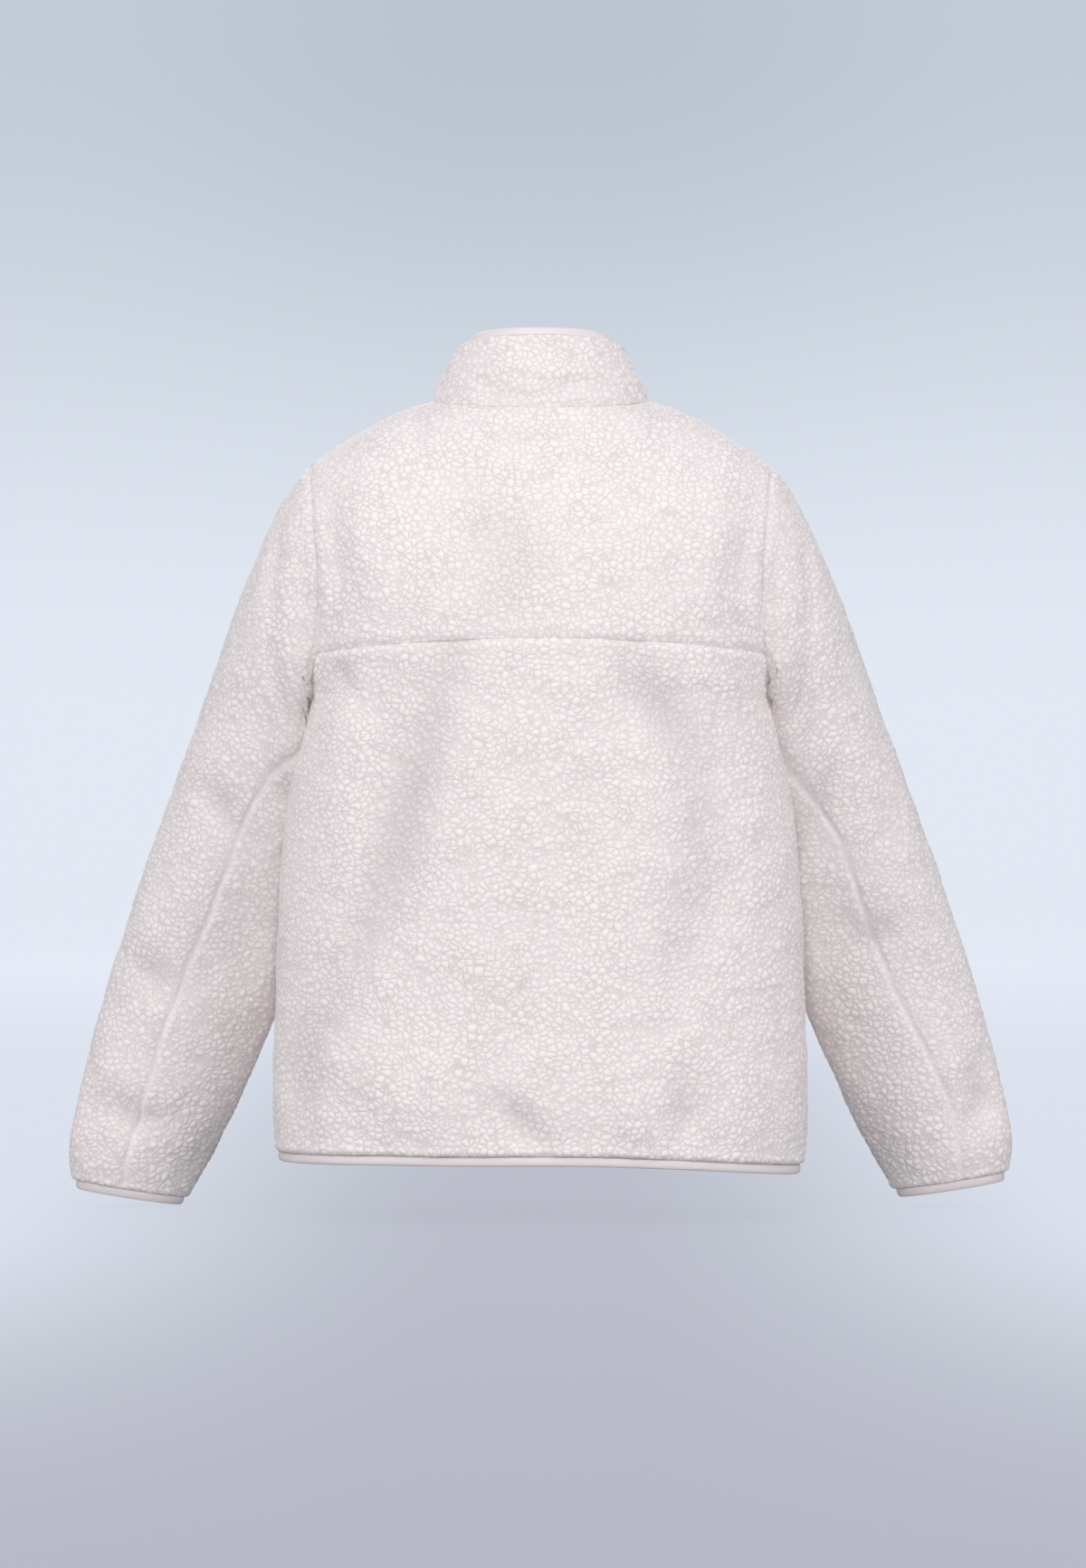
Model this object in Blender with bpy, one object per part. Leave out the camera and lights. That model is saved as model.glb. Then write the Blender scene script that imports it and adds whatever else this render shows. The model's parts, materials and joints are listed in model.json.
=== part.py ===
"""A fleece zip-up jacket with a stand-up collar, filled out as if worn, with nobody in it.

The back faces +Y and the zip faces -Y, so the wearer's left is +X. The origin is the middle of
the neck, level with the two points where collar and shoulder seams meet. Sizes are millimetres.

Each cloth piece is one wall: a grid of outer points, and the same grid moved in by the wall's
thickness. Neighbours take their seam points from the same function, share the direction of
their wall there, and each draws back from the seam by half of the gap.
"""

import math
from collections import namedtuple

import bmesh
import bpy
import numpy as np
from mathutils import Matrix

MM = 0.001

# Cloth
WALL = 5.0
HALF_GAP = 0.17
COLLAR_HALF_GAP = 0.35
SEAM_DIP = 1.8
FREE_EDGE_DIP = 1.0

# Neck and shoulders, for one half of the jacket
NECK_HALF_WIDTH = 96.0
NECK_BACK_DEPTH = 75.0
NECK_BACK_DROP = 8.0
NECK_FRONT_DEPTH = 88.0
NECK_FRONT_DROP = 72.0
SHOULDER_TIP_X = 208.0
SHOULDER_TIP_Z = -58.0
SHOULDER_CURVE = 1.4

# Body
UNDERARM_Z = -270.0
YOKE_SIDE_Z = -228.0
YOKE_CENTRE_Z = -216.0
LAST_LEVEL = 2.55
LAST_LEVEL_TURN = math.radians(138.0)
LAST_LEVEL_BACK_Z = -78.0
LAST_LEVEL_FRONT_Z = -122.0
SHOULDER_REACH = 1.15
CENTRE_Z_AT_UNDERARM = -264.0
HEM_Z = -682.0
HEM_TILT = 0.025
HEM_BACK_RISE = 7.0
ARMHOLE_BACK_DEPTH = 77.0
ARMHOLE_FRONT_DEPTH = 72.0
ZIP_HALF_WIDTH = 9.0
ROUNDNESS = 0.86
EDGE_FADE = 0.12
FOLD_SPREAD = 0.6

# Collar's top edge
COLLAR_TOP_HALF_WIDTH = 74.0
COLLAR_TOP_BACK_DEPTH = 61.0
COLLAR_TOP_FRONT_DEPTH = 73.0
COLLAR_TOP_SIDE_Z = 33.0
COLLAR_TOP_BACK_RISE = 23.0
COLLAR_TOP_FRONT_DROP = 20.0
COLLAR_BULGE = 2.5
NECK_TILT_ENDS = 0.32
NECK_TILT_SIDES = 1.3

TorsoRow = namedtuple("TorsoRow", "height half_width back_depth front_depth side_y")
TORSO = (
    TorsoRow(-700.0, 234.0, 119.0, 121.0, 8.0),
    TorsoRow(-672.0, 238.0, 124.0, 127.0, 8.0),
    TorsoRow(-537.0, 237.5, 126.0, 131.0, 8.0),
    TorsoRow(-455.0, 235.0, 127.0, 133.0, 7.0),
    TorsoRow(-373.0, 228.5, 128.0, 133.0, 4.0),
    TorsoRow(-324.0, 222.0, 128.0, 132.0, 2.0),
    TorsoRow(-270.0, 212.0, 127.0, 129.0, 0.0),
    TorsoRow(-216.0, 202.0, 126.0, 124.0, 0.0),
    TorsoRow(-150.0, 200.0, 121.0, 112.0, 0.0),
    TorsoRow(-110.0, 200.0, 113.0, 101.0, 0.0),
    TorsoRow(-78.0, 200.0, 103.0, 90.0, 0.0),
)

ArmholeRow = namedtuple("ArmholeRow", "height back_x front_x")
ARMHOLE = (
    ArmholeRow(-270.0, 212.0, 212.0),
    ArmholeRow(-246.0, 207.0, 203.0),
    ArmholeRow(-228.0, 202.0, 196.0),
    ArmholeRow(-184.0, 198.5, 188.0),
    ArmholeRow(-140.0, 199.5, 187.0),
    ArmholeRow(-100.0, 205.0, 193.0),
    ArmholeRow(-58.0, 208.0, 208.0),
)

SleeveRow = namedtuple(
    "SleeveRow", "along outer_x outer_z inner_x inner_z centre_y half_depth"
)
SLEEVE = (
    SleeveRow(0.0, 208.0, -58.0, 212.0, -270.0, 2.0, 75.0),
    SleeveRow(26.0, 225.0, -78.0, 215.0, -272.0, -3.0, 75.5),
    SleeveRow(64.0, 243.0, -111.0, 216.0, -277.0, -10.0, 76.0),
    SleeveRow(117.0, 265.0, -160.0, 214.0, -290.0, -20.0, 76.0),
    SleeveRow(169.0, 284.0, -209.0, 212.0, -312.0, -31.0, 76.0),
    SleeveRow(239.0, 308.0, -275.0, 211.0, -348.0, -44.0, 74.0),
    SleeveRow(309.0, 333.0, -341.0, 213.0, -392.0, -55.0, 70.0),
    SleeveRow(378.0, 358.0, -407.0, 217.0, -443.0, -66.0, 64.0),
    SleeveRow(448.0, 381.0, -474.0, 225.0, -500.0, -76.0, 57.0),
    SleeveRow(516.0, 402.0, -540.0, 249.0, -561.0, -84.0, 51.0),
    SleeveRow(584.0, 420.5, -608.0, 277.0, -625.0, -90.0, 46.0),
    SleeveRow(637.0, 432.0, -661.0, 300.0, -673.0, -93.0, 42.0),
    SleeveRow(664.0, 434.0, -688.0, 317.0, -704.0, -95.0, 37.0),
    SleeveRow(680.0, 429.5, -703.0, 327.0, -719.0, -96.0, 31.0),
)
SLEEVE_ROUNDNESS = 0.93
SLEEVE_CLEARANCE = 3.5
SLEEVE_DROP_LEFT = 7.0
SLEEVE_MEAN_RADIUS = 62.0
ARMHOLE_FADE = 150.0
FOLDS_FROM_ARMHOLE = 30.0
FOLDS_FROM_CUFF = 25.0

# Folds of the body: a soft trough (height below 0) or ridge from one place to another, given
# across (x) and up (z), on the back (side 1) or the front (side -1).
BodyFold = namedtuple("BodyFold", "side x0 z0 x1 z1 half_width height")
BODY_FOLDS = (
    BodyFold(1, -75.0, -275.0, -5.0, -560.0, 26.0, -3.2),
    BodyFold(1, 150.0, -250.0, 118.0, -560.0, 30.0, -3.4),
    BodyFold(1, 60.0, -300.0, 40.0, -600.0, 38.0, 2.6),
    BodyFold(1, -160.0, -290.0, -150.0, -520.0, 32.0, -2.4),
    BodyFold(1, 205.0, -600.0, 135.0, -668.0, 24.0, -3.4),
    BodyFold(1, 60.0, -640.0, -60.0, -672.0, 20.0, -2.2),
    BodyFold(1, -80.0, -610.0, -150.0, -660.0, 22.0, -2.6),
    BodyFold(1, 190.0, -110.0, 176.0, -200.0, 22.0, -3.0),
    BodyFold(1, -190.0, -110.0, -176.0, -200.0, 22.0, -3.0),
    BodyFold(1, -60.0, -24.0, 60.0, -24.0, 9.0, -1.8),
    BodyFold(-1, 185.0, -300.0, 120.0, -470.0, 30.0, -3.2),
    BodyFold(-1, -180.0, -310.0, -105.0, -500.0, 32.0, -3.0),
    BodyFold(-1, 150.0, -560.0, 70.0, -665.0, 26.0, -2.8),
    BodyFold(-1, -165.0, -590.0, -90.0, -668.0, 24.0, -2.6),
    BodyFold(-1, 170.0, -120.0, 150.0, -230.0, 24.0, -2.6),
    BodyFold(-1, -170.0, -120.0, -152.0, -225.0, 24.0, -2.6),
)

# Folds of a sleeve, the same on both: from one place to another, given along the sleeve and
# round it (0 degrees outside, 90 back, 180 inside, -90 front).
SleeveFold = namedtuple("SleeveFold", "along0 round0 along1 round1 half_width height")
SLEEVE_FOLDS = (
    SleeveFold(45.0, 30.0, 130.0, 95.0, 15.0, -3.2),
    SleeveFold(90.0, 150.0, 210.0, 100.0, 20.0, -3.0),
    SleeveFold(230.0, 150.0, 330.0, 60.0, 24.0, -2.6),
    SleeveFold(420.0, 130.0, 520.0, 40.0, 26.0, -2.8),
    SleeveFold(600.0, 35.0, 640.0, 150.0, 16.0, -3.2),
    SleeveFold(560.0, 20.0, 650.0, 60.0, 15.0, -2.2),
    SleeveFold(60.0, -40.0, 150.0, -110.0, 18.0, -3.2),
    SleeveFold(300.0, -150.0, 380.0, -60.0, 26.0, -3.4),
    SleeveFold(380.0, -150.0, 440.0, -50.0, 22.0, -3.2),
    SleeveFold(560.0, -140.0, 640.0, -40.0, 20.0, -2.8),
)

# Grid steps, shared by neighbours so that their seam points match
NECK_STEPS = 5
NECK_SHARE = 0.42
SHOULDER_STEPS = 7
LAST_STEP_ACROSS = 0.05
LOWER_STEPS = 16
FIRST_STEP_UP = 0.022
ARMPIT_ROWS = (1.4, 1.86, 2.0)
TOP_ROWS = (2.06, 2.18, 2.31, 2.44, 2.57, 2.70, 2.82, 2.93, 3.0)
NORMAL_STEP = 0.004
LAST_SLOPE_STEP = 0.04
COLLAR_ROWS = (0.0, 0.13, 0.4, 0.65, 0.88, 1.0)
SLEEVE_ROWS = 24
SLEEVE_END_STEP = 9.0

# Binding: a flat elastic strip folded over an edge, as points (out from the pile, past the edge)
HEM_BINDING = ((-1.4, 0.3), (-0.7, 4.2), (-1.3, 7.4), (-2.9, 8.2), (-4.5, 7.4), (-5.0, 0.3))
COLLAR_BINDING = ((-2.0, 0.3), (-1.8, 5.0), (-2.3, 8.4), (-3.5, 9.2), (-4.7, 8.4), (-5.2, 0.3))
CUFF_BINDING = ((-1.4, 0.3), (-0.9, 4.6), (-1.7, 8.0), (-3.0, 8.8), (-4.3, 8.0), (-4.9, 0.3))
CUFF_DRAW_IN = 0.18

# Zip
SLIDER_FROM_TOP = 21.2
CHAIN_ABOVE_BOX = 1.3
BOX_ABOVE_FOOT = 1.0
TAPE_INNER = 2.6
TAPE_FRONT = -1.5
TAPE_BACK = -2.9
CHAIN_HALF_WIDTH = 2.3
CHAIN_FRONT = -0.6
CHAIN_BACK = -3.6
ZIP_BOX_SIZE = (8.4, 2.4, 9.0)
PLATE_WIDTH = 9.6
PLATE_LENGTH = 11.0
PLATE_TOP = 1.9
PLATE_BOTTOM = 0.1
BACK_PLATE_TOP = -4.1
BACK_PLATE_BOTTOM = -5.5
POST_WIDTH = 3.4
POST_LENGTH = 3.0
CROWN_WIDTH = 2.2
CROWN_LENGTH = 7.8
CROWN_TOP = 5.7
CROWN_HOLE_LENGTH = 5.2
CROWN_HOLE_TOP = 4.7
PULL_AXIS_OUT = 3.3
PULL_WIDTH = 7.0
PULL_LENGTH = 25.0
PULL_THICKNESS = 1.6
PULL_WINDOW_WIDTH = 3.3
PULL_WINDOW_END = 5.2
PULL_EYE_WIDTH = 3.6
PULL_EYE_LENGTH = 4.0
PULL_EYE_PLACE = 20.0
PULL_BAR_SIDES = 24

Finish = namedtuple("Finish", "name colour roughness metallic")
FLEECE = Finish("fleece", (0.80, 0.76, 0.77, 1.0), 0.95, 0.0)
BINDING = Finish("elastic_binding", (0.78, 0.74, 0.76, 1.0), 0.6, 0.0)
TAPE = Finish("zip_tape", (0.76, 0.73, 0.74, 1.0), 0.8, 0.0)
CHAIN = Finish("zip_chain", (0.80, 0.78, 0.78, 1.0), 0.4, 0.0)
METAL = Finish("zip_metal", (0.72, 0.71, 0.72, 1.0), 0.3, 1.0)


# ---------------------------------------------------------------- curves and small vector tools


def hermite(start, start_slope, end, end_slope, t):
    """A cubic from start to end with the given slopes."""
    t2, t3 = t * t, t * t * t
    return (
        (2 * t3 - 3 * t2 + 1) * start
        + (t3 - 2 * t2 + t) * start_slope
        + (3 * t2 - 2 * t3) * end
        + (t3 - t2) * end_slope
    )


def column(rows, name, at):
    """One column of a table at places along its first column, on a smooth curve."""
    knots = np.array([row[0] for row in rows])
    values = np.array([getattr(row, name) for row in rows])
    slopes = np.gradient(values, knots)
    at = np.clip(np.asarray(at, float), knots[0], knots[-1])
    i = np.clip(np.searchsorted(knots, at, side="right") - 1, 0, len(knots) - 2)
    span = knots[i + 1] - knots[i]
    t = (at - knots[i]) / span
    return hermite(values[i], slopes[i] * span, values[i + 1], slopes[i + 1] * span, t)


def smooth_step(t):
    """0 to 1 with level ends."""
    t = np.clip(t, 0.0, 1.0)
    return t * t * (3 - 2 * t)


def stack(x, y, z):
    """Three arrays of coordinates as one array of points."""
    return np.stack(np.broadcast_arrays(x, y, z), axis=-1).astype(float)


def unit(vectors):
    """Vectors of length 1."""
    return vectors / np.maximum(np.linalg.norm(vectors, axis=-1, keepdims=True), 1e-9)


def fold_height(across, along, fold_start, fold_end, half_width, height):
    """How far a fold lifts the cloth at places (across, along): a ridge that fades at its ends."""
    (x0, z0), (x1, z1) = fold_start, fold_end
    length = math.hypot(x1 - x0, z1 - z0)
    ux, uz = (x1 - x0) / length, (z1 - z0) / length
    run = (across - x0) * ux + (along - z0) * uz
    off = -(across - x0) * uz + (along - z0) * ux
    past = np.maximum(np.maximum(-run, run - length), 0.0)
    middle = 0.75 + 0.25 * np.sin(np.clip(run / length, 0.0, 1.0) * math.pi)
    return height * middle * np.exp(-(off**2 + past**2) / (2 * (FOLD_SPREAD * half_width) ** 2))


# ---------------------------------------------------------------- the body's surface


def hem_height(x):
    """The lower edge of the body's fleece, a little lower on the wearer's right."""
    return HEM_Z + HEM_TILT * x


def depth_column(side):
    """The table column with the body's depth at the back or the front."""
    return "back_depth" if side > 0 else "front_depth"


def arc_row(u, centre, edge, axis_y):
    """A level row from the centre line (u 0) to the side (u 1), part of a superellipse."""
    share = np.clip((edge[1] - axis_y) / (centre[1] - axis_y), 0.0, 1.0)
    turn = np.arccos(share ** (1 / ROUNDNESS))
    across = (np.sin(u * turn) / np.sin(turn)) ** ROUNDNESS
    bow = np.cos(u * turn) ** ROUNDNESS
    return stack(
        centre[0] + (edge[0] - centre[0]) * across,
        axis_y + (centre[1] - axis_y) * bow,
        centre[2] + (edge[2] - centre[2]) * across**2,
    )


def centre_x(side):
    """Where a half begins: the centre line of the back, or the zip's edge of the front."""
    return 0.0 if side > 0 else ZIP_HALF_WIDTH


def armhole_edge(turn, side):
    """The armhole's edge at an angle from the underarm (0) over the back or front to the tip."""
    middle = (UNDERARM_Z + SHOULDER_TIP_Z) / 2
    half = (SHOULDER_TIP_Z - UNDERARM_Z) / 2
    z = middle - half * np.cos(turn)
    depth = ARMHOLE_BACK_DEPTH if side > 0 else -ARMHOLE_FRONT_DEPTH
    x = column(ARMHOLE, "back_x" if side > 0 else "front_x", z)
    return x, depth * np.sin(turn), z


def yoke_turn():
    """The armhole's angle at the yoke seam."""
    middle = (UNDERARM_Z + SHOULDER_TIP_Z) / 2
    half = (SHOULDER_TIP_Z - UNDERARM_Z) / 2
    return math.acos((middle - YOKE_SIDE_Z) / half)


def level_rows(u, w, side, hand):
    """Body surface from the hem (w 0) past the underarm (1) and yoke seam (2) to LAST_LEVEL."""
    low = np.clip(w, 0.0, 1.0)
    armpit = np.clip(w - 1.0, 0.0, 1.0)
    yoke = np.clip((w - 2.0) / (LAST_LEVEL - 2.0), 0.0, 1.0)
    depth = depth_column(side)
    hem_side = hem_height(hand * TORSO[0].half_width)
    edge_z = hem_side + (UNDERARM_Z - hem_side) * low
    last_z = LAST_LEVEL_BACK_Z if side > 0 else LAST_LEVEL_FRONT_Z
    hem_centre = HEM_Z + (HEM_BACK_RISE if side > 0 else 0.0)
    centre_z = hem_centre + (CENTRE_Z_AT_UNDERARM - hem_centre) * low
    centre_z = centre_z + (YOKE_CENTRE_Z - CENTRE_Z_AT_UNDERARM) * armpit
    centre_z = centre_z + (last_z - YOKE_CENTRE_Z) * yoke
    axis_y = column(TORSO, "side_y", edge_z)
    turn = armpit * yoke_turn() + yoke * (LAST_LEVEL_TURN - yoke_turn())
    arm_x, arm_y, arm_z = armhole_edge(turn, side)
    on_armhole = w > 1.0
    edge_x = np.where(on_armhole, arm_x, column(TORSO, "half_width", edge_z))
    edge_y = np.where(on_armhole, arm_y, axis_y)
    edge_z = np.where(on_armhole, arm_z, edge_z)
    facing = 1.0 if side > 0 else -1.0
    centre_y = facing * column(TORSO, depth, centre_z)
    return arc_row(u, (centre_x(side), centre_y, centre_z), (edge_x, edge_y, edge_z), axis_y)


def top_edge(u, side):
    """The neckline, and past NECK_SHARE the shoulder seam out to its tip."""
    start = centre_x(side)
    neck = np.clip(u / NECK_SHARE, 0.0, 1.0) * math.pi / 2
    depth = NECK_BACK_DEPTH if side > 0 else -NECK_FRONT_DEPTH
    drop = NECK_BACK_DROP if side > 0 else NECK_FRONT_DROP
    out = np.clip((u - NECK_SHARE) / (1 - NECK_SHARE), 0.0, 1.0)
    bow = np.maximum(np.cos(neck), 0.0)
    x = start + (NECK_HALF_WIDTH - start) * np.sin(neck)
    x = x + (SHOULDER_TIP_X - NECK_HALF_WIDTH) * out
    y = depth * bow**0.9
    z = -drop * bow**1.2 + SHOULDER_TIP_Z * out**SHOULDER_CURVE
    return stack(x, y, z)


def body_surface(u, w, side, hand):
    """The plain body at u (0 centre, 1 side) and w (0 hem, 1 underarm, 2 yoke seam, 3 top)."""
    u, w = np.broadcast_arrays(np.asarray(u, float), np.asarray(w, float))
    level = level_rows(u, np.minimum(w, LAST_LEVEL), side, hand)
    last = level_rows(u, np.full_like(w, LAST_LEVEL), side, hand)
    before = level_rows(u, np.full_like(w, LAST_LEVEL - LAST_SLOPE_STEP), side, hand)
    top = top_edge(u, side)
    reach = np.linalg.norm(top - last, axis=-1, keepdims=True) * SHOULDER_REACH
    toward = smooth_step(u / NECK_SHARE)[..., None]
    at_neck = np.array([0.0, -0.5, 0.87]) if side > 0 else np.array([0.0, 0.30, 0.95])
    over = np.array([0.0, -1.0 if side > 0 else 1.0, 0.0])
    arriving = unit(at_neck * (1 - toward) + over * toward)
    t = np.clip((w - LAST_LEVEL) / (3.0 - LAST_LEVEL), 0.0, 1.0)[..., None]
    upper = hermite(last, unit(last - before) * reach, top, arriving * reach, t)
    points = np.where((w > LAST_LEVEL)[..., None], upper, level)
    points[..., 0] *= hand
    return points


def body_normals(u, w, side, hand):
    """Outward directions of the plain body, from neighbouring places on it."""
    across = body_surface(np.minimum(u + NORMAL_STEP, 1.0), w, side, hand) - body_surface(
        np.maximum(u - NORMAL_STEP, 0.0), w, side, hand
    )
    up = body_surface(u, np.minimum(w + NORMAL_STEP, 3.0), side, hand) - body_surface(
        u, np.maximum(w - NORMAL_STEP, 0.0), side, hand
    )
    return unit(np.cross(up, across)) * (hand * (1.0 if side > 0 else -1.0))


def folded_body(u, w, side, hand):
    """The body's outer points with its folds."""
    points = body_surface(u, w, side, hand)
    normals = body_normals(u, w, side, hand)
    lift = np.zeros(points.shape[:-1])
    for fold in BODY_FOLDS:
        if fold.side == side:
            lift += fold_height(
                points[..., 0], points[..., 2], (fold.x0, fold.z0), (fold.x1, fold.z1),
                fold.half_width, fold.height,
            )
    side_fade = smooth_step((1.0 - u) / EDGE_FADE)
    zip_fade = 1.0 if side > 0 else smooth_step(u / EDGE_FADE)
    return points + normals * (lift * side_fade * zip_fade)[..., None]


def across_steps():
    """Places across one half: even over the neckline and shoulder, with a narrow last step."""
    neck = np.linspace(0.0, NECK_SHARE, NECK_STEPS + 1)
    shoulder = np.linspace(NECK_SHARE, 1.0 - LAST_STEP_ACROSS, SHOULDER_STEPS)
    return np.concatenate([neck, shoulder[1:], [1.0]])


def up_steps():
    """Places up the body, with a narrow first step at the hem and narrow steps at the yoke."""
    lower = np.linspace(FIRST_STEP_UP, 1.0, LOWER_STEPS)
    return np.concatenate([[0.0], lower, ARMPIT_ROWS, TOP_ROWS])


# ---------------------------------------------------------------- the sleeves' surface


def body_side_x(y, z):
    """How far out the plain body reaches at a depth and height below the underarm."""
    axis_y = column(TORSO, "side_y", z)
    width = column(TORSO, "half_width", z)
    back = column(TORSO, "back_depth", z) - axis_y
    front = column(TORSO, "front_depth", z) + axis_y
    share = np.clip(np.where(y > axis_y, (y - axis_y) / back, (axis_y - y) / front), 0.0, 1.0)
    return width * (1 - share ** (2 / ROUNDNESS)) ** (ROUNDNESS / 2)


def sleeve_section(along, turn):
    """Plain sleeve: an oval across it, from its outer edge (0) over the back to the inner edge."""
    values = {name: column(SLEEVE, name, along) for name in SleeveRow._fields[1:]}
    out_x = values["outer_x"] - values["inner_x"]
    out_z = values["outer_z"] - values["inner_z"]
    lean = np.abs(np.cos(turn)) ** SLEEVE_ROUNDNESS * np.sign(np.cos(turn)) / 2
    bow = np.abs(np.sin(turn)) ** SLEEVE_ROUNDNESS * np.sign(np.sin(turn))
    return stack(
        (values["outer_x"] + values["inner_x"]) / 2 + out_x * lean,
        values["centre_y"] + values["half_depth"] * bow,
        (values["outer_z"] + values["inner_z"]) / 2 + out_z * lean,
    )


def ring_turns(count):
    """Even angles round a sleeve, from the outer edge over the back."""
    return np.arange(count) * (2 * math.pi / count)


def armhole_turns(ring):
    """Angles at which the armhole's own points stand, seen from the middle of the ring."""
    first = SLEEVE[0]
    half = (first.outer_z - first.inner_z) / 2
    up = (ring[:, 2] - (first.outer_z + first.inner_z) / 2) / half
    out = (ring[:, 1] - first.centre_y) / first.half_depth
    return np.unwrap(np.arctan2(out, up))


def sleeve_surface(along, ring, hand):
    """The sleeve's outer points: rows along it by points round it, from the armhole's ring."""
    count = len(ring)
    fade = (1 - smooth_step(along / ARMHOLE_FADE))[:, None]
    own_turns = armhole_turns(ring)[None, :]
    turns = own_turns * fade + ring_turns(count)[None, :] * (1 - fade)
    plain = sleeve_section(along[:, None], turns)
    at_armhole = sleeve_section(np.zeros((1, 1)), own_turns)
    points = plain + (ring[None] - at_armhole) * fade[..., None]
    around = ((turns + math.pi) % (2 * math.pi) - math.pi) * SLEEVE_MEAN_RADIUS
    lift = np.zeros(turns.shape)
    for fold in SLEEVE_FOLDS:
        start = (math.radians(fold.round0) * SLEEVE_MEAN_RADIUS, fold.along0)
        end = (math.radians(fold.round1) * SLEEVE_MEAN_RADIUS, fold.along1)
        lift += fold_height(around, along[:, None], start, end, fold.half_width, fold.height)
    length = SLEEVE[-1].along
    ends = smooth_step(along / FOLDS_FROM_ARMHOLE) * smooth_step((length - along) / FOLDS_FROM_CUFF)
    points += ring_normals(points) * (lift * ends[:, None])[..., None]
    if hand > 0:
        points[..., 2] -= SLEEVE_DROP_LEFT * smooth_step(along / length)[:, None]
    clearance = np.clip(UNDERARM_Z - points[..., 2], 0.0, SLEEVE_CLEARANCE)
    least = body_side_x(points[..., 1], points[..., 2]) + clearance
    beside = (points[..., 2] < UNDERARM_Z) & (along[:, None] > 0.0)
    points[..., 0] = np.where(beside, np.maximum(points[..., 0], least), points[..., 0])
    return points


def ring_normals(points):
    """Outward directions of a tube given as rows of points round it."""
    around = np.roll(points, -1, axis=1) - np.roll(points, 1, axis=1)
    along = np.gradient(points, axis=0)
    return unit(np.cross(along, around))


def sleeve_rows():
    """Places along a sleeve, with narrow first and last steps."""
    end = SLEEVE[-1].along
    inner = np.linspace(SLEEVE_END_STEP, end - SLEEVE_END_STEP, SLEEVE_ROWS - 1)
    return np.concatenate([[0.0], inner, [end]])


# ---------------------------------------------------------------- the collar's surface


def collar_top(share):
    """The collar's top edge: share 0 at centre back, 1 at the zip."""
    turn = share * math.pi
    bow = np.cos(turn)
    back = bow > 0
    start = np.where(back, 0.0, ZIP_HALF_WIDTH)
    x = start + (COLLAR_TOP_HALF_WIDTH - start) * np.maximum(np.sin(turn), 0.0)
    size = np.abs(bow)
    y = np.where(back, COLLAR_TOP_BACK_DEPTH, -COLLAR_TOP_FRONT_DEPTH) * size**0.9
    rise = np.where(back, COLLAR_TOP_BACK_RISE * size**0.42, -COLLAR_TOP_FRONT_DROP * size**0.9)
    return stack(x, y, COLLAR_TOP_SIDE_Z + rise)


def collar_surface(base, hand_signs, shares):
    """Rows up the collar from its seam points, bulging a little between seam and top."""
    top = collar_top(shares)
    top[:, 0] *= hand_signs
    out = unit(stack(base[:, 0] / NECK_HALF_WIDTH, base[:, 1] / NECK_BACK_DEPTH, 0.15 + 0 * shares))
    rows = []
    for height in COLLAR_ROWS:
        bulge = COLLAR_BULGE * math.sin(math.pi * height) ** 0.8 if 0 < height < 1 else 0.0
        rows.append(base * (1 - height) + top * height + out * bulge)
    return np.array(rows)


# ---------------------------------------------------------------- walls with shared seams


def grid_normals(points, facing_out):
    """Unit normals of a grid of points, turned to the side given by facing_out."""
    normals = unit(np.cross(np.gradient(points, axis=1), np.gradient(points, axis=0)))
    middle = (points.shape[0] // 2, points.shape[1] // 2)
    return normals * np.sign(np.dot(normals[middle], facing_out))


def seam_key(point):
    """A key that the same seam point has in every piece."""
    return tuple(np.round(point * 10).astype(int))


def edge_slices(tube):
    """The edges of a grid, each with the next line in: first and last row, then the sides."""
    ends = [((0, slice(None)), (1, slice(None))), ((-1, slice(None)), (-2, slice(None)))]
    if not tube:
        ends += [((slice(None), 0), (slice(None), 1)), ((slice(None), -1), (slice(None), -2))]
    return ends


def neck_directions(base):
    """Wall directions round the neck seam: outward, and tilted up most at its sides."""
    depth = np.where(base[:, 1] > 0, NECK_BACK_DEPTH, NECK_FRONT_DEPTH)
    out_x = base[:, 0] / NECK_HALF_WIDTH**2
    out_x[[0, -1]] = 0.0
    out = unit(stack(out_x, base[:, 1] / depth**2, 0.0))
    tilt = NECK_TILT_ENDS + (NECK_TILT_SIDES - NECK_TILT_ENDS) * out[:, 0] ** 2
    return unit(out + tilt[:, None] * np.array([0.0, 0.0, 1.0]))


def share_normals(panels, newcomer=None, given=None):
    """Give every seam point one wall direction, the mean of the pieces that meet there.

    With a newcomer, such as a sleeve, the mean is of the others' shared direction and its own,
    or else its first row and all that meets it take the directions given.
    """
    found = {}
    for panel in panels:
        for edge, _ in edge_slices(panel["tube"]):
            for point, normal in zip(panel["points"][edge], panel["normals"][edge]):
                found.setdefault(seam_key(point), []).append(normal)
    mean = {key: unit(np.sum(normals, axis=0)) for key, normals in found.items()}
    if newcomer:
        row = newcomer["points"][0]
        for k, point in enumerate(row):
            key = seam_key(point)
            mean[key] = unit(mean[key] + newcomer["normals"][0][k]) if given is None else given[k]
            newcomer["normals"][0][k] = mean[key]
    for panel in panels:
        for edge, _ in edge_slices(panel["tube"]):
            row, normals = panel["points"][edge], panel["normals"][edge]
            for k, point in enumerate(row):
                normals[k] = mean[seam_key(point)]


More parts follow.
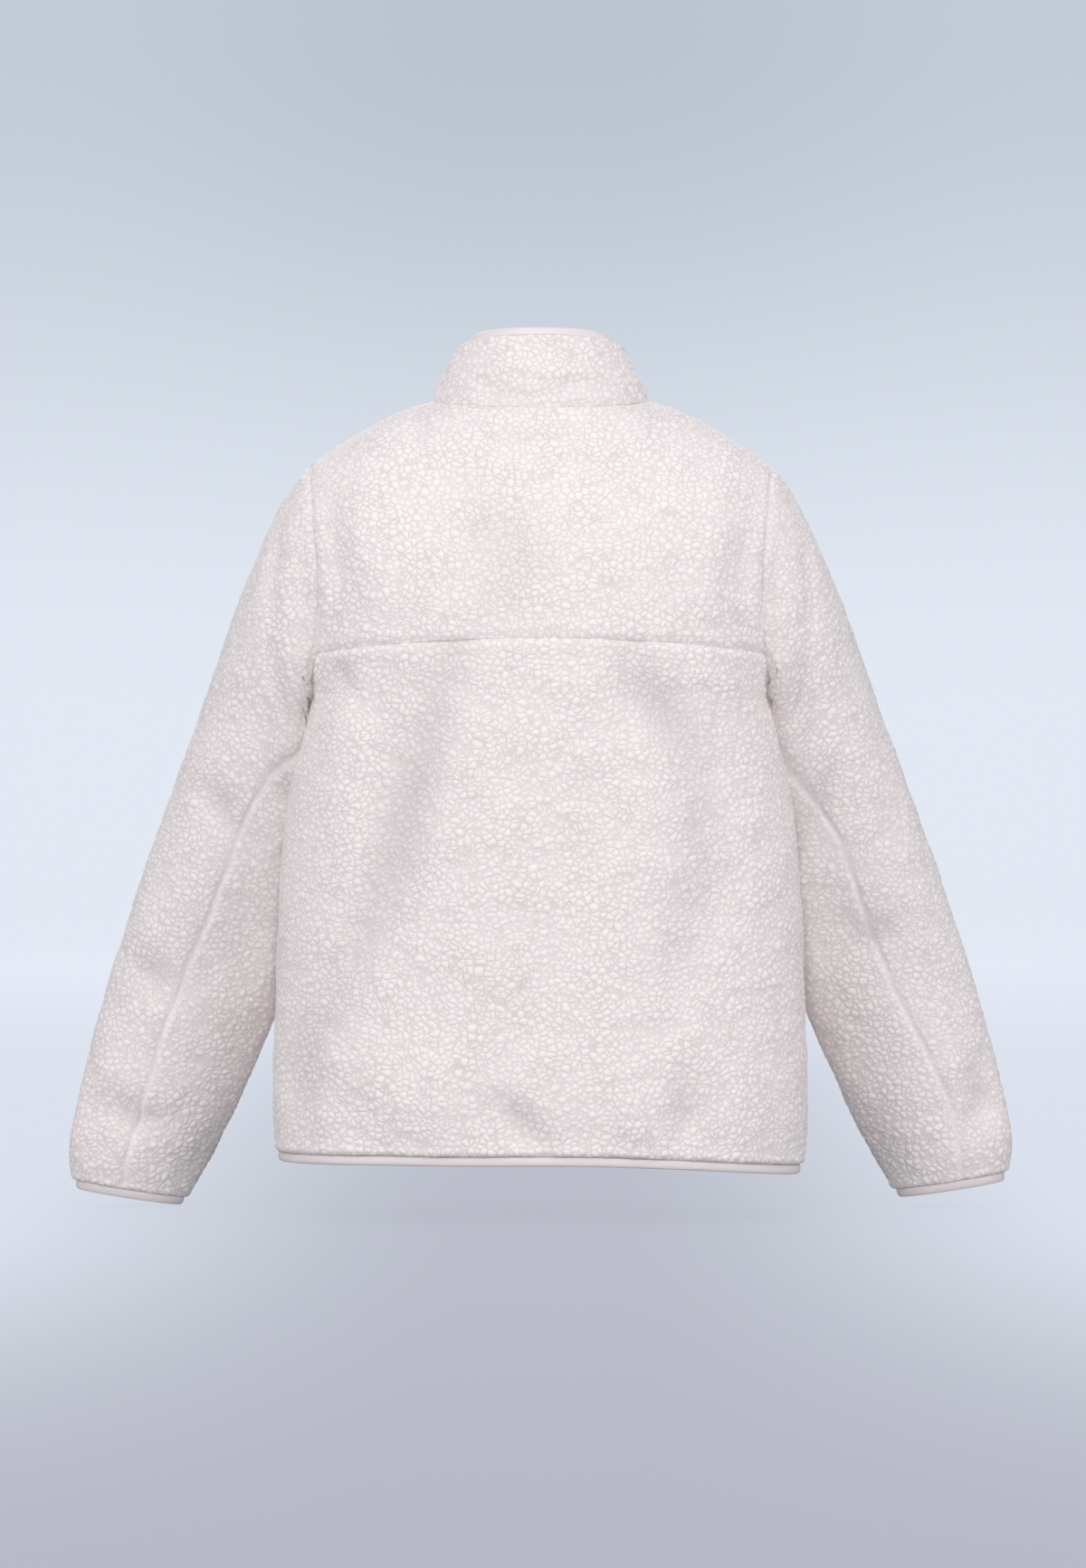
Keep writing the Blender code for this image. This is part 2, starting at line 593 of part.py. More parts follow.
def finish_wall(panel):
    """Outer and inner points of a wall: drawn back from its seams, its outer edges pressed in."""
    points, normals = panel["points"], panel["normals"]
    shift = np.zeros_like(points)
    dip = np.zeros(points.shape[:-1])
    for number, (edge, inside) in enumerate(edge_slices(panel["tube"])):
        line = points[edge]
        run = np.gradient(line, axis=0)
        if panel["tube"]:
            run = np.roll(line, -1, axis=0) - np.roll(line, 1, axis=0)
        inward = unit(np.cross(normals[edge], run))
        inward *= np.sign(np.sum(inward * (points[inside] - line), axis=-1, keepdims=True))
        shift[edge] += inward * panel["gap"]
        edge_dip = FREE_EDGE_DIP if number in panel["free_edges"] else SEAM_DIP
        dip[edge] = np.maximum(dip[edge], edge_dip)
    outer = points + shift - normals * dip[..., None]
    inner = points + shift - normals * WALL
    return outer, inner


# ---------------------------------------------------------------- Blender objects


def make_material(finish):
    """A Principled BSDF with the finish's colour, roughness and metallic value."""
    found = bpy.data.materials.get(finish.name)
    if found:
        return found
    material = bpy.data.materials.new(finish.name)
    material.use_nodes = True
    shader = material.node_tree.nodes["Principled BSDF"]
    shader.inputs["Base Color"].default_value = finish.colour
    shader.inputs["Roughness"].default_value = finish.roughness
    shader.inputs["Metallic"].default_value = finish.metallic
    return material


def add_object(name, mesh_source, finish, collection):
    """Put a bmesh into the scene as a named object."""
    bmesh.ops.recalc_face_normals(mesh_source, faces=mesh_source.faces[:])
    if mesh_source.calc_volume(signed=True) < 0:
        bmesh.ops.reverse_faces(mesh_source, faces=mesh_source.faces[:])
    mesh = bpy.data.meshes.new(name)
    mesh_source.to_mesh(mesh)
    mesh_source.free()
    mesh.materials.append(make_material(finish))
    mesh.shade_smooth()
    mesh.set_sharp_from_angle(angle=math.radians(40))
    made = bpy.data.objects.new(name, mesh)
    collection.objects.link(made)
    return made


def add_wall(name, outer, inner, tube, finish, collection):
    """A cloth wall between a grid of outer points and the same grid of inner points."""
    rows, columns = outer.shape[0] - 1, outer.shape[1] - (0 if tube else 1)
    work = bmesh.new()
    bmesh.ops.create_grid(work, x_segments=columns, y_segments=rows, size=0.5)
    place = {}
    for vert in work.verts:
        place[vert] = (round((vert.co.y + 0.5) * rows), round((vert.co.x + 0.5) * columns))
    if tube:
        for vert, (row, turn) in place.items():
            angle = 2 * math.pi * turn / columns
            vert.co = (math.cos(angle), math.sin(angle), row)
        bmesh.ops.remove_doubles(work, verts=work.verts[:], dist=1e-4)
    outside = list(work.verts)
    made = bmesh.ops.extrude_face_region(work, geom=work.faces[:], use_keep_orig=True)
    inside = [item for item in made["geom"] if isinstance(item, bmesh.types.BMVert)]
    for verts, grid in ((outside, outer), (inside, inner)):
        for vert in verts:
            if tube:
                turn = round(math.atan2(vert.co.y, vert.co.x) / (2 * math.pi) * columns) % columns
                row = round(vert.co.z)
            else:
                row, turn = round((vert.co.y + 0.5) * rows), round((vert.co.x + 0.5) * columns)
            vert.co = grid[row, turn] * MM
    return add_object(name, work, finish, collection)


def add_strip(name, rings, closed, finish, collection):
    """A strip lofted through rings of profile points, capped at its ends unless closed."""
    work = bmesh.new()
    verts = [[work.verts.new(point * MM) for point in ring] for ring in rings]
    pairs = list(zip(verts, verts[1:]))
    if closed:
        pairs.append((verts[-1], verts[0]))
    else:
        work.faces.new(verts[0])
        work.faces.new(verts[-1])
    for low, high in pairs:
        for k in range(len(low)):
            nxt = (k + 1) % len(low)
            work.faces.new((low[k], low[nxt], high[nxt], high[k]))
    return add_object(name, work, finish, collection)


def binding_rings(line, out, past, profile):
    """Rings of a binding along an edge, from its outward and past-the-edge directions."""
    return [
        [line[k] + out[k] * across + past[k] * beyond for across, beyond in profile]
        for k in range(len(line))
    ]


def add_box(name, size, centre, finish, collection, frame, bevel=0.0):
    """A box of a size and centre in the local frame, with its edges rounded."""
    work = bmesh.new()
    bmesh.ops.create_cube(work, size=1.0)
    bmesh.ops.scale(work, vec=[part * MM for part in size], verts=work.verts[:])
    bmesh.ops.translate(work, vec=[part * MM for part in centre], verts=work.verts[:])
    if bevel:
        bmesh.ops.bevel(
            work, geom=work.edges[:], offset=bevel * MM, segments=1, affect="EDGES", profile=0.5
        )
    made = add_object(name, work, finish, collection)
    made.matrix_world = frame
    return made


def combine(target, other, operation):
    """Join a helper to an object, or cut it out of it."""
    step = target.modifiers.new(other.name, "BOOLEAN")
    step.operation = operation
    step.solver = "EXACT"
    step.object = other
    other.hide_render = True
    other.display_type = "WIRE"


# ---------------------------------------------------------------- the pieces


def new_panel(name, points, facing_out, free_edges, tube=False, gap=HALF_GAP):
    """A cloth piece's grid of points with its wall directions."""
    normals = ring_normals(points) if tube else grid_normals(points, facing_out)
    return {
        "name": name, "points": points, "normals": normals,
        "free_edges": free_edges, "tube": tube, "gap": gap,
    }


def level_at_zip(normals):
    """Turn the wall directions along a zip edge straight in, clear of the tape."""
    normals[:, 0] = 0.0
    normals[:] = unit(normals)


def body_panels():
    """Back below the yoke, yoke, and the two fronts."""
    half = across_steps()
    rows = up_steps()
    seam_row = 1 + LOWER_STEPS + len(ARMPIT_ROWS)
    right = folded_body(half[None, :], rows[:, None], 1, -1)
    left = folded_body(half[None, :], rows[:, None], 1, 1)
    back = np.concatenate([right[:, :0:-1], left], axis=1)
    back_out, front_out = np.array([0.0, 1.0, 0.0]), np.array([0.0, -1.0, 0.0])
    panels = {
        "back_lower": new_panel("back_lower", back[:seam_row], back_out, (0,)),
        "back_yoke": new_panel("back_yoke", back[seam_row - 1 :], back_out, ()),
        "front_left": new_panel(
            "front_left", folded_body(half[None, :], rows[:, None], -1, 1), front_out, (0, 2)
        ),
        "front_right": new_panel(
            "front_right", folded_body(half[None, :], rows[:, None], -1, -1), front_out, (0, 2)
        ),
    }
    level_at_zip(panels["front_left"]["normals"][:, 0])
    level_at_zip(panels["front_right"]["normals"][:, 0])
    return panels


def armhole_ring(panels, hand):
    """The armhole's points from the shoulder tip down the back, under the arm and up the front."""
    start = LOWER_STEPS
    side = -1 if hand > 0 else 0
    back = np.concatenate(
        [panels["back_lower"]["points"][start:, side], panels["back_yoke"]["points"][1:, side]]
    )
    front = panels["front_left" if hand > 0 else "front_right"]["points"][start:, -1]
    return np.concatenate([back[::-1], front[1:-1]])


def sleeve_panel(panels, hand):
    """One sleeve as a tube from its armhole to its cuff."""
    ring = armhole_ring(panels, hand) * np.array([hand, 1.0, 1.0])
    points = sleeve_surface(sleeve_rows(), ring, hand)
    points = points * np.array([hand, 1.0, 1.0])
    panel = new_panel("sleeve_left" if hand > 0 else "sleeve_right", points, None, (1,), tube=True)
    centre = points.mean(axis=1, keepdims=True)
    outward = np.sign(np.sum(panel["normals"] * (points - centre)))
    panel["normals"] *= outward
    return panel


def collar_panel(panels):
    """The collar from zip edge to zip edge, from the points of the neckline."""
    steps = NECK_STEPS
    back_row = panels["back_yoke"]["points"][-1]
    middle = (back_row.shape[0] - 1) // 2
    back = back_row[middle - steps : middle + steps + 1]
    right = panels["front_right"]["points"][-1][: steps + 1]
    left = panels["front_left"]["points"][-1][: steps + 1]
    base = np.concatenate([right[:-1], back, left[::-1][1:]])
    count = 2 * steps
    shares = np.abs(np.arange(-count, count + 1)) / count
    signs = np.sign(np.arange(-count, count + 1) + 0.1)
    points = collar_surface(base, signs, shares)
    panel = new_panel("collar", points, np.array([0.0, 1.0, 0.0]), (1, 2, 3), gap=COLLAR_HALF_GAP)
    level_at_zip(panel["normals"][:, 0])
    level_at_zip(panel["normals"][:, -1])
    return panel


def hem_binding(panels, collection):
    """The elastic strip under the hem, from one side of the zip round the back to the other."""
    lines = [
        (panels["front_left"], slice(None), slice(None)),
        (panels["back_lower"], slice(None, None, -1), slice(1, None)),
        (panels["front_right"], slice(None, None, -1), slice(1, None)),
    ]
    line = np.concatenate([panel["points"][0][order][part] for panel, order, part in lines])
    out = np.concatenate([panel["normals"][0][order][part] for panel, order, part in lines])
    down = np.tile(np.array([0.0, 0.0, -1.0]), (len(line), 1))
    out = unit(out * np.array([1.0, 1.0, 0.0]))
    rings = binding_rings(line, out, down, HEM_BINDING)
    return add_strip("hem_binding", rings, False, BINDING, collection)


def collar_binding(collar, collection):
    """The elastic strip on the collar's top edge."""
    points, normals = collar["points"], collar["normals"]
    up = unit(points[-1] - points[-2])
    rings = binding_rings(points[-1], normals[-1], up, COLLAR_BINDING)
    return add_strip("collar_binding", rings, False, BINDING, collection)


def cuff_binding(sleeve, collection):
    """The elastic ring at the end of a sleeve, drawn in a little."""
    points, normals = sleeve["points"], sleeve["normals"]
    centre_line = points.mean(axis=1)
    down = unit(centre_line[-1] - centre_line[-2])
    past = unit(down[None] - normals[-1] * CUFF_DRAW_IN)
    rings = binding_rings(points[-1], normals[-1], past, CUFF_BINDING)
    name = sleeve["name"].replace("sleeve", "cuff_binding")
    return add_strip(name, rings, True, BINDING, collection)


def binding_reach(profile):
    """How far a binding stands past its edge."""
    return max(past for _, past in profile)


def zip_line(panels, collar):
    """The middle of the zip from the hem binding's foot to the collar binding's top (y, z)."""
    body = panels["front_left"]["points"][:, 0, 1:]
    neck = collar["points"][1:, -1, 1:]
    line = np.concatenate([body, neck])
    foot = line[0] + unit(line[0] - line[1]) * binding_reach(HEM_BINDING)
    top = line[-1] + unit(line[-1] - line[-2]) * binding_reach(COLLAR_BINDING)
    return np.concatenate([[foot], line, [top]])


def zip_rings(line, x_low, x_high, out_low, out_high):
    """Rings of a strip that runs up the zip between two widths and two depths."""
    run = unit(np.gradient(line, axis=0))
    out = np.stack([-run[:, 1], run[:, 0]], axis=-1)
    corners = ((x_low, out_low), (x_high, out_low), (x_high, out_high), (x_low, out_high))
    rings = []
    for (y, z), (out_y, out_z) in zip(line, out):
        rings.append([np.array([x, y + out_y * n, z + out_z * n]) for x, n in corners])
    return rings


def cut_line(line, start_length, end_length):
    """The line without a length at each end."""
    steps = np.linalg.norm(np.diff(line, axis=0), axis=1)
    along = np.concatenate([[0.0], np.cumsum(steps)])
    places = along[(along > start_length + 1.0) & (along < along[-1] - end_length - 1.0)]
    places = np.concatenate([[start_length], places, [along[-1] - end_length]])
    return np.stack([np.interp(places, along, line[:, k]) for k in (0, 1)], axis=-1)


def zip_frame(line, length_from_top):
    """A local frame on the zip: X across, Y into the jacket, Z up the zip."""
    steps = np.linalg.norm(np.diff(line, axis=0), axis=1)
    along = np.concatenate([[0.0], np.cumsum(steps)])
    place = along[-1] - length_from_top
    y, z = (np.interp(place, along, line[:, k]) for k in (0, 1))
    near = [np.interp(place + 6.0, along, line[:, k]) - v for k, v in ((0, y), (1, z))]
    lean = math.atan2(-near[0], near[1])
    return Matrix.Translation((0.0, y * MM, z * MM)) @ Matrix.Rotation(lean, 4, "X")


def add_zip(panels, collar, collection, helpers):
    """Tapes, chain, box, slider and pull tab."""
    line = zip_line(panels, collar)
    tape_outer = ZIP_HALF_WIDTH - HALF_GAP * 2
    for name, low, high in (
        ("zip_tape_left", TAPE_INNER, tape_outer),
        ("zip_tape_right", -tape_outer, -TAPE_INNER),
    ):
        add_strip(name, zip_rings(line, low, high, TAPE_BACK, TAPE_FRONT), False, TAPE, collection)
    chain = cut_line(line, ZIP_BOX_SIZE[2] + CHAIN_ABOVE_BOX, SLIDER_FROM_TOP)
    chain_rings = zip_rings(
        chain, -CHAIN_HALF_WIDTH, CHAIN_HALF_WIDTH, CHAIN_BACK, CHAIN_FRONT
    )
    add_strip("zip_chain", chain_rings, False, CHAIN, collection)
    add_zip_box(line, collection)
    frame = zip_frame(line, SLIDER_FROM_TOP)
    add_slider(frame, collection, helpers)
    add_pull(frame, collection, helpers)


def add_zip_box(line, collection):
    """The box that holds the zip's foot together, over the tapes."""
    length = np.linalg.norm(np.diff(line, axis=0), axis=1).sum()
    foot = zip_frame(line, length - ZIP_BOX_SIZE[2] / 2 - BOX_ABOVE_FOOT)
    add_box("zip_box", ZIP_BOX_SIZE, (0.0, 0.0, 0.0), METAL, collection, foot, 0.4)


def add_slider(frame, collection, helpers):
    """Front and back plates joined by a post, with the crown that carries the pull tab."""
    thickness = PLATE_TOP - PLATE_BOTTOM
    slider = add_box(
        "zip_slider", (PLATE_WIDTH, thickness, PLATE_LENGTH),
        (0.0, -(PLATE_TOP + PLATE_BOTTOM) / 2, 0.0), METAL, collection, frame, 0.6,
    )
    back = add_box(
        "slider_back_plate",
        (PLATE_WIDTH, BACK_PLATE_TOP - BACK_PLATE_BOTTOM, PLATE_LENGTH),
        (0.0, -(BACK_PLATE_TOP + BACK_PLATE_BOTTOM) / 2, 0.0), METAL, helpers, frame, 0.4,
    )
    post_span = (PLATE_BOTTOM + 0.5, BACK_PLATE_TOP - 0.5)
    post = add_box(
        "slider_post", (POST_WIDTH, post_span[0] - post_span[1], POST_LENGTH),
        (0.0, -sum(post_span) / 2, PLATE_LENGTH / 2 - POST_LENGTH / 2 - 0.8),
        METAL, helpers, frame,
    )
    crown_foot = PLATE_TOP - 0.6
    crown = add_box(
        "slider_crown", (CROWN_WIDTH, CROWN_TOP - crown_foot, CROWN_LENGTH),
        (0.0, -(CROWN_TOP + crown_foot) / 2, 0.0), METAL, helpers, frame, 0.5,
    )
    hole = add_box(
        "slider_crown_hole",
        (CROWN_WIDTH * 3, CROWN_HOLE_TOP - PLATE_TOP, CROWN_HOLE_LENGTH),
        (0.0, -(CROWN_HOLE_TOP + PLATE_TOP) / 2, 0.0), METAL, helpers, frame,
    )
    combine(slider, back, "UNION")
    combine(slider, post, "UNION")
    combine(slider, crown, "UNION")
    combine(slider, hole, "DIFFERENCE")


def add_pull(frame, collection, helpers):
    """The pull tab, hanging from the crown by a round bar; its origin is the bar's axis."""
    axis = frame @ Matrix.Translation((0.0, -PULL_AXIS_OUT * MM, 0.0))
    radius = PULL_THICKNESS / 2
    pull = add_box(
        "zip_pull", (PULL_WIDTH, PULL_THICKNESS, PULL_LENGTH),
        (0.0, 0.0, -PULL_LENGTH / 2), METAL, collection, axis, 0.45,
    )
    window = add_box(
        "pull_window", (PULL_WINDOW_WIDTH, PULL_THICKNESS * 3, PULL_WINDOW_END + radius),
        (0.0, 0.0, -(PULL_WINDOW_END - radius) / 2), METAL, helpers, axis,
    )
    eye = add_box(
        "pull_eye", (PULL_EYE_WIDTH, PULL_THICKNESS * 3, PULL_EYE_LENGTH),
        (0.0, 0.0, -PULL_EYE_PLACE), METAL, helpers, axis,
    )
    round_bar = bmesh.new()
    bmesh.ops.create_cone(
        round_bar, cap_ends=True, segments=PULL_BAR_SIDES, radius1=radius * MM,
        radius2=radius * MM, depth=PULL_WIDTH * MM, matrix=Matrix.Rotation(math.pi / 2, 4, "Y"),
    )
    bar = add_object("pull_bar", round_bar, METAL, helpers)
    bar.matrix_world = axis
    combine(pull, window, "DIFFERENCE")
    combine(pull, eye, "DIFFERENCE")
    combine(pull, bar, "UNION")


def main():
    """Build the whole jacket."""
    for old in list(bpy.data.objects):
        bpy.data.objects.remove(old, do_unlink=True)
    collection = bpy.data.collections.new("fleece_zip_jacket")
    helpers = bpy.data.collections.new("cutters")
    bpy.context.scene.collection.children.link(collection)
    bpy.context.scene.collection.children.link(helpers)

    panels = body_panels()
    body = list(panels.values())
    share_normals(body)
    sleeves = [sleeve_panel(panels, hand) for hand in (1, -1)]
    for sleeve in sleeves:
        share_normals(body, sleeve)
    collar = collar_panel(panels)
    share_normals(body, collar, neck_directions(collar["points"][0]))

    for panel in body + sleeves + [collar]:
        outer, inner = finish_wall(panel)
        add_wall(panel["name"], outer, inner, panel["tube"], FLEECE, collection)
    hem_binding(panels, collection)
    collar_binding(collar, collection)
    for sleeve in sleeves:
        cuff_binding(sleeve, collection)
    add_zip(panels, collar, collection, helpers)


main()
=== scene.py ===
"""Looks for the fleece zip-up jacket: curly pile, elastic bindings, seams, stitching and the zip.

Everything is in metres, in the same frame as the CAD part: the back faces +Y and the zip -Y, so
the wearer's left is +X. Each fleece piece is a thin shell on its solid's outer form, with a
finer surface, closer grooves at its seams, softer folds and a raised curly pile.
"""

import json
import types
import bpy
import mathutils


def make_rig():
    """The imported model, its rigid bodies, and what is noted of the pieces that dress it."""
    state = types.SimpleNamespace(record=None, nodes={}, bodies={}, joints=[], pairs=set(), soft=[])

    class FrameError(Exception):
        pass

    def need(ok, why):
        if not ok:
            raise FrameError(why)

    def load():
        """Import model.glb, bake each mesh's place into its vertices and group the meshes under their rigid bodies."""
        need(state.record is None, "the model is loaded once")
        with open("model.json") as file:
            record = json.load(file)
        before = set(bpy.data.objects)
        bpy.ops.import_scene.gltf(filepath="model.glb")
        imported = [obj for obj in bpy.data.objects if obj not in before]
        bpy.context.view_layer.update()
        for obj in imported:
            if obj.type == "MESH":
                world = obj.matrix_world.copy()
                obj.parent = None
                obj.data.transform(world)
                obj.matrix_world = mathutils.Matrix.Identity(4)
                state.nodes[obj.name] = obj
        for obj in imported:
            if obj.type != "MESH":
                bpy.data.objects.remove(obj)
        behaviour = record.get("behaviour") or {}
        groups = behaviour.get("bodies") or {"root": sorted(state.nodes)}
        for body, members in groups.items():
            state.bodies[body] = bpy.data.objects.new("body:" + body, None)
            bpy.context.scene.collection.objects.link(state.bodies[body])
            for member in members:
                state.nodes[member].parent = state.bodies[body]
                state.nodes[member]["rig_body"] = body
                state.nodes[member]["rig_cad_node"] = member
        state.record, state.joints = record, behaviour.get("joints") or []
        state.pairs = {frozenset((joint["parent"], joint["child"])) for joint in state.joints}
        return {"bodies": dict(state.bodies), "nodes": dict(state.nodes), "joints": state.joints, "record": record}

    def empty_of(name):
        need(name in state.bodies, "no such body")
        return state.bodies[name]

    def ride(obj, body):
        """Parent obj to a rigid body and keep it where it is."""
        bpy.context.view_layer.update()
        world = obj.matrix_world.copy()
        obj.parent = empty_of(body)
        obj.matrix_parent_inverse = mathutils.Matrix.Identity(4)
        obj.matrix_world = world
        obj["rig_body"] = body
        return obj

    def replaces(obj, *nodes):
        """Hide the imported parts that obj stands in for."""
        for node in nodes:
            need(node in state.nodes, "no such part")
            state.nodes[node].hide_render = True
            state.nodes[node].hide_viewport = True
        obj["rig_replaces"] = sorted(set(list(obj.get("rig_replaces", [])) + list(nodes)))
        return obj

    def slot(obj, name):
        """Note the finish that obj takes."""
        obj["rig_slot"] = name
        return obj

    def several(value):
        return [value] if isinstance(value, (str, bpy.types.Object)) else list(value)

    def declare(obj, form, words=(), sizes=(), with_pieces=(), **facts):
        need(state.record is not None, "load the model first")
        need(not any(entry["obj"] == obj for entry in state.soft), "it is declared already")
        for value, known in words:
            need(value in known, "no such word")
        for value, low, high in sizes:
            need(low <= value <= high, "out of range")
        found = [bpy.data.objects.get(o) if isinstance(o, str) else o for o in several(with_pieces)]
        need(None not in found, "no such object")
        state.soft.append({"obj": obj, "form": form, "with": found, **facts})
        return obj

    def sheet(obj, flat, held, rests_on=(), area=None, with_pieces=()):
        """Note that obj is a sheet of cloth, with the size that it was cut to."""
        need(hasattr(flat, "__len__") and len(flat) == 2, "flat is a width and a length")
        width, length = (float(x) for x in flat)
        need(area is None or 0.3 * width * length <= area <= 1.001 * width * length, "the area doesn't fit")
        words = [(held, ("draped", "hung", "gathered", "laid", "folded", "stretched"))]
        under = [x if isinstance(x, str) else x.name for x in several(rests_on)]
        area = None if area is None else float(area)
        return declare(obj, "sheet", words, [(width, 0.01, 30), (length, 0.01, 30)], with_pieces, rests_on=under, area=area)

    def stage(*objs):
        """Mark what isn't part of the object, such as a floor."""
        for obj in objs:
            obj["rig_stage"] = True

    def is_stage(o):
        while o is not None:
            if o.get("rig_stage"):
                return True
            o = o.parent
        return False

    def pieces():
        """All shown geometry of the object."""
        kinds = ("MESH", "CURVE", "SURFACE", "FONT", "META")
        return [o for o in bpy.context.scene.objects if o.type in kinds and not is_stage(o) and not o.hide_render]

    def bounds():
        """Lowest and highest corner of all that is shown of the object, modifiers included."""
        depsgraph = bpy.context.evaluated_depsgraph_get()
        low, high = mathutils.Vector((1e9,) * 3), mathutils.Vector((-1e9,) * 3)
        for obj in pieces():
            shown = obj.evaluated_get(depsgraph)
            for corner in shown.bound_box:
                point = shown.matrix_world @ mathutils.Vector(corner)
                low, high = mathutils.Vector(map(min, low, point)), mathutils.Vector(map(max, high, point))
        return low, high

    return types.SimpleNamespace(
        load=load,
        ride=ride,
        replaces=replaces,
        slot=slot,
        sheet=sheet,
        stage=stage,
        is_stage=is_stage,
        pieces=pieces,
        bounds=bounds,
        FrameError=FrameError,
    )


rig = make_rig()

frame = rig.load()

import json
import logging
import math
from collections.abc import Sequence
from dataclasses import dataclass, field
from enum import Enum
from pathlib import Path

import bmesh
import bpy
import numpy as np
from mathutils import Vector

CAD_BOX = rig.bounds()
SIZE_FILE = Path("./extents.json")
MM = 0.001
MERGE_DISTANCE = 0.02 * MM
LOG = logging.getLogger("fleece_jacket")

Colour = tuple[float, float, float, float]
Socket = bpy.types.NodeSocket


# ---------------------------------------------------------------- node trees


class NodeSheet:
    """Adds nodes to one node tree and joins them."""

    def __init__(self, tree: bpy.types.NodeTree) -> None:
        """Keep the tree that the nodes go into."""
        self.tree = tree

    def add(self, kind: str, inputs: dict | None = None, **settings: object) -> bpy.types.Node:
        """Add one node.

        Args:
            kind: the node's type name.
            inputs: socket name or number to a value, or to the socket that feeds it.
            settings: the node's own options.

        Returns:
            The new node.
        """
        node = self.tree.nodes.new(kind)
        for name, value in settings.items():
            setattr(node, name, value)
        for name, value in (inputs or {}).items():
            self.feed(node.inputs[name], value)
        return node

    def feed(self, socket: Socket, value: object) -> None:
        """Give a socket a value, or link it to the socket that is passed."""
        if isinstance(value, bpy.types.NodeSocket):
            self.tree.links.new(value, socket)
        else:
            socket.default_value = value

    def calc(self, operation: str, first: object, second: object = 0.0) -> Socket:
        """The result of a Math node."""
        node = self.add("ShaderNodeMath", {0: first, 1: second}, operation=operation)
        return node.outputs[0]

    def vector(self, operation: str, first: object, second: object) -> Socket:
        """The result of a Vector Math node on two vectors."""
        node = self.add("ShaderNodeVectorMath", {0: first, 1: second}, operation=operation)
        return node.outputs[0]

    def scaled(self, vector: object, factor: object) -> Socket:
        """A vector times a number."""
        node = self.add("ShaderNodeVectorMath", {0: vector, "Scale": factor}, operation="SCALE")
        return node.outputs[0]

    def ramp(self, value: Socket, low: float, high: float, start: float, end: float) -> Socket:
        """A smooth step from start to end as the value goes from low to high."""
        node = self.add(
            "ShaderNodeMapRange",
            {"Value": value, "From Min": low, "From Max": high, "To Min": start, "To Max": end},
            interpolation_type="SMOOTHSTEP",
        )
        return node.outputs[0]

    def blend(self, factor: object, first: object, second: object) -> Socket:
        """A colour between two colours."""
        node = self.add("ShaderNodeMix", {0: factor, 6: first, 7: second}, data_type="RGBA")
        return node.outputs[2]

    def noise(self, place: Socket, scale: float, detail: float = 1.0) -> bpy.types.Node:
        """A Noise texture."""
        return self.add("ShaderNodeTexNoise", {"Vector": place, "Scale": scale, "Detail": detail})

    def cells(self, place: Socket, scale: float, feature: str = "DISTANCE_TO_EDGE") -> Socket:
        """The distance output of a Voronoi texture."""
        node = self.add("ShaderNodeTexVoronoi", {"Vector": place, "Scale": scale}, feature=feature)
        return node.outputs["Distance"]

    def stored(self, name: str, output: str = "Fac") -> Socket:
        """An attribute of the mesh."""
        return self.add("ShaderNodeAttribute", attribute_name=name).outputs[output]

    def bump(self, shader: bpy.types.Node, height: Socket, depth: float, strength: float) -> None:
        """Give a shader fine relief."""
        node = self.add(
            "ShaderNodeBump", {"Height": height, "Distance": depth, "Strength": strength}
        )
        self.feed(shader.inputs["Normal"], node.outputs[0])


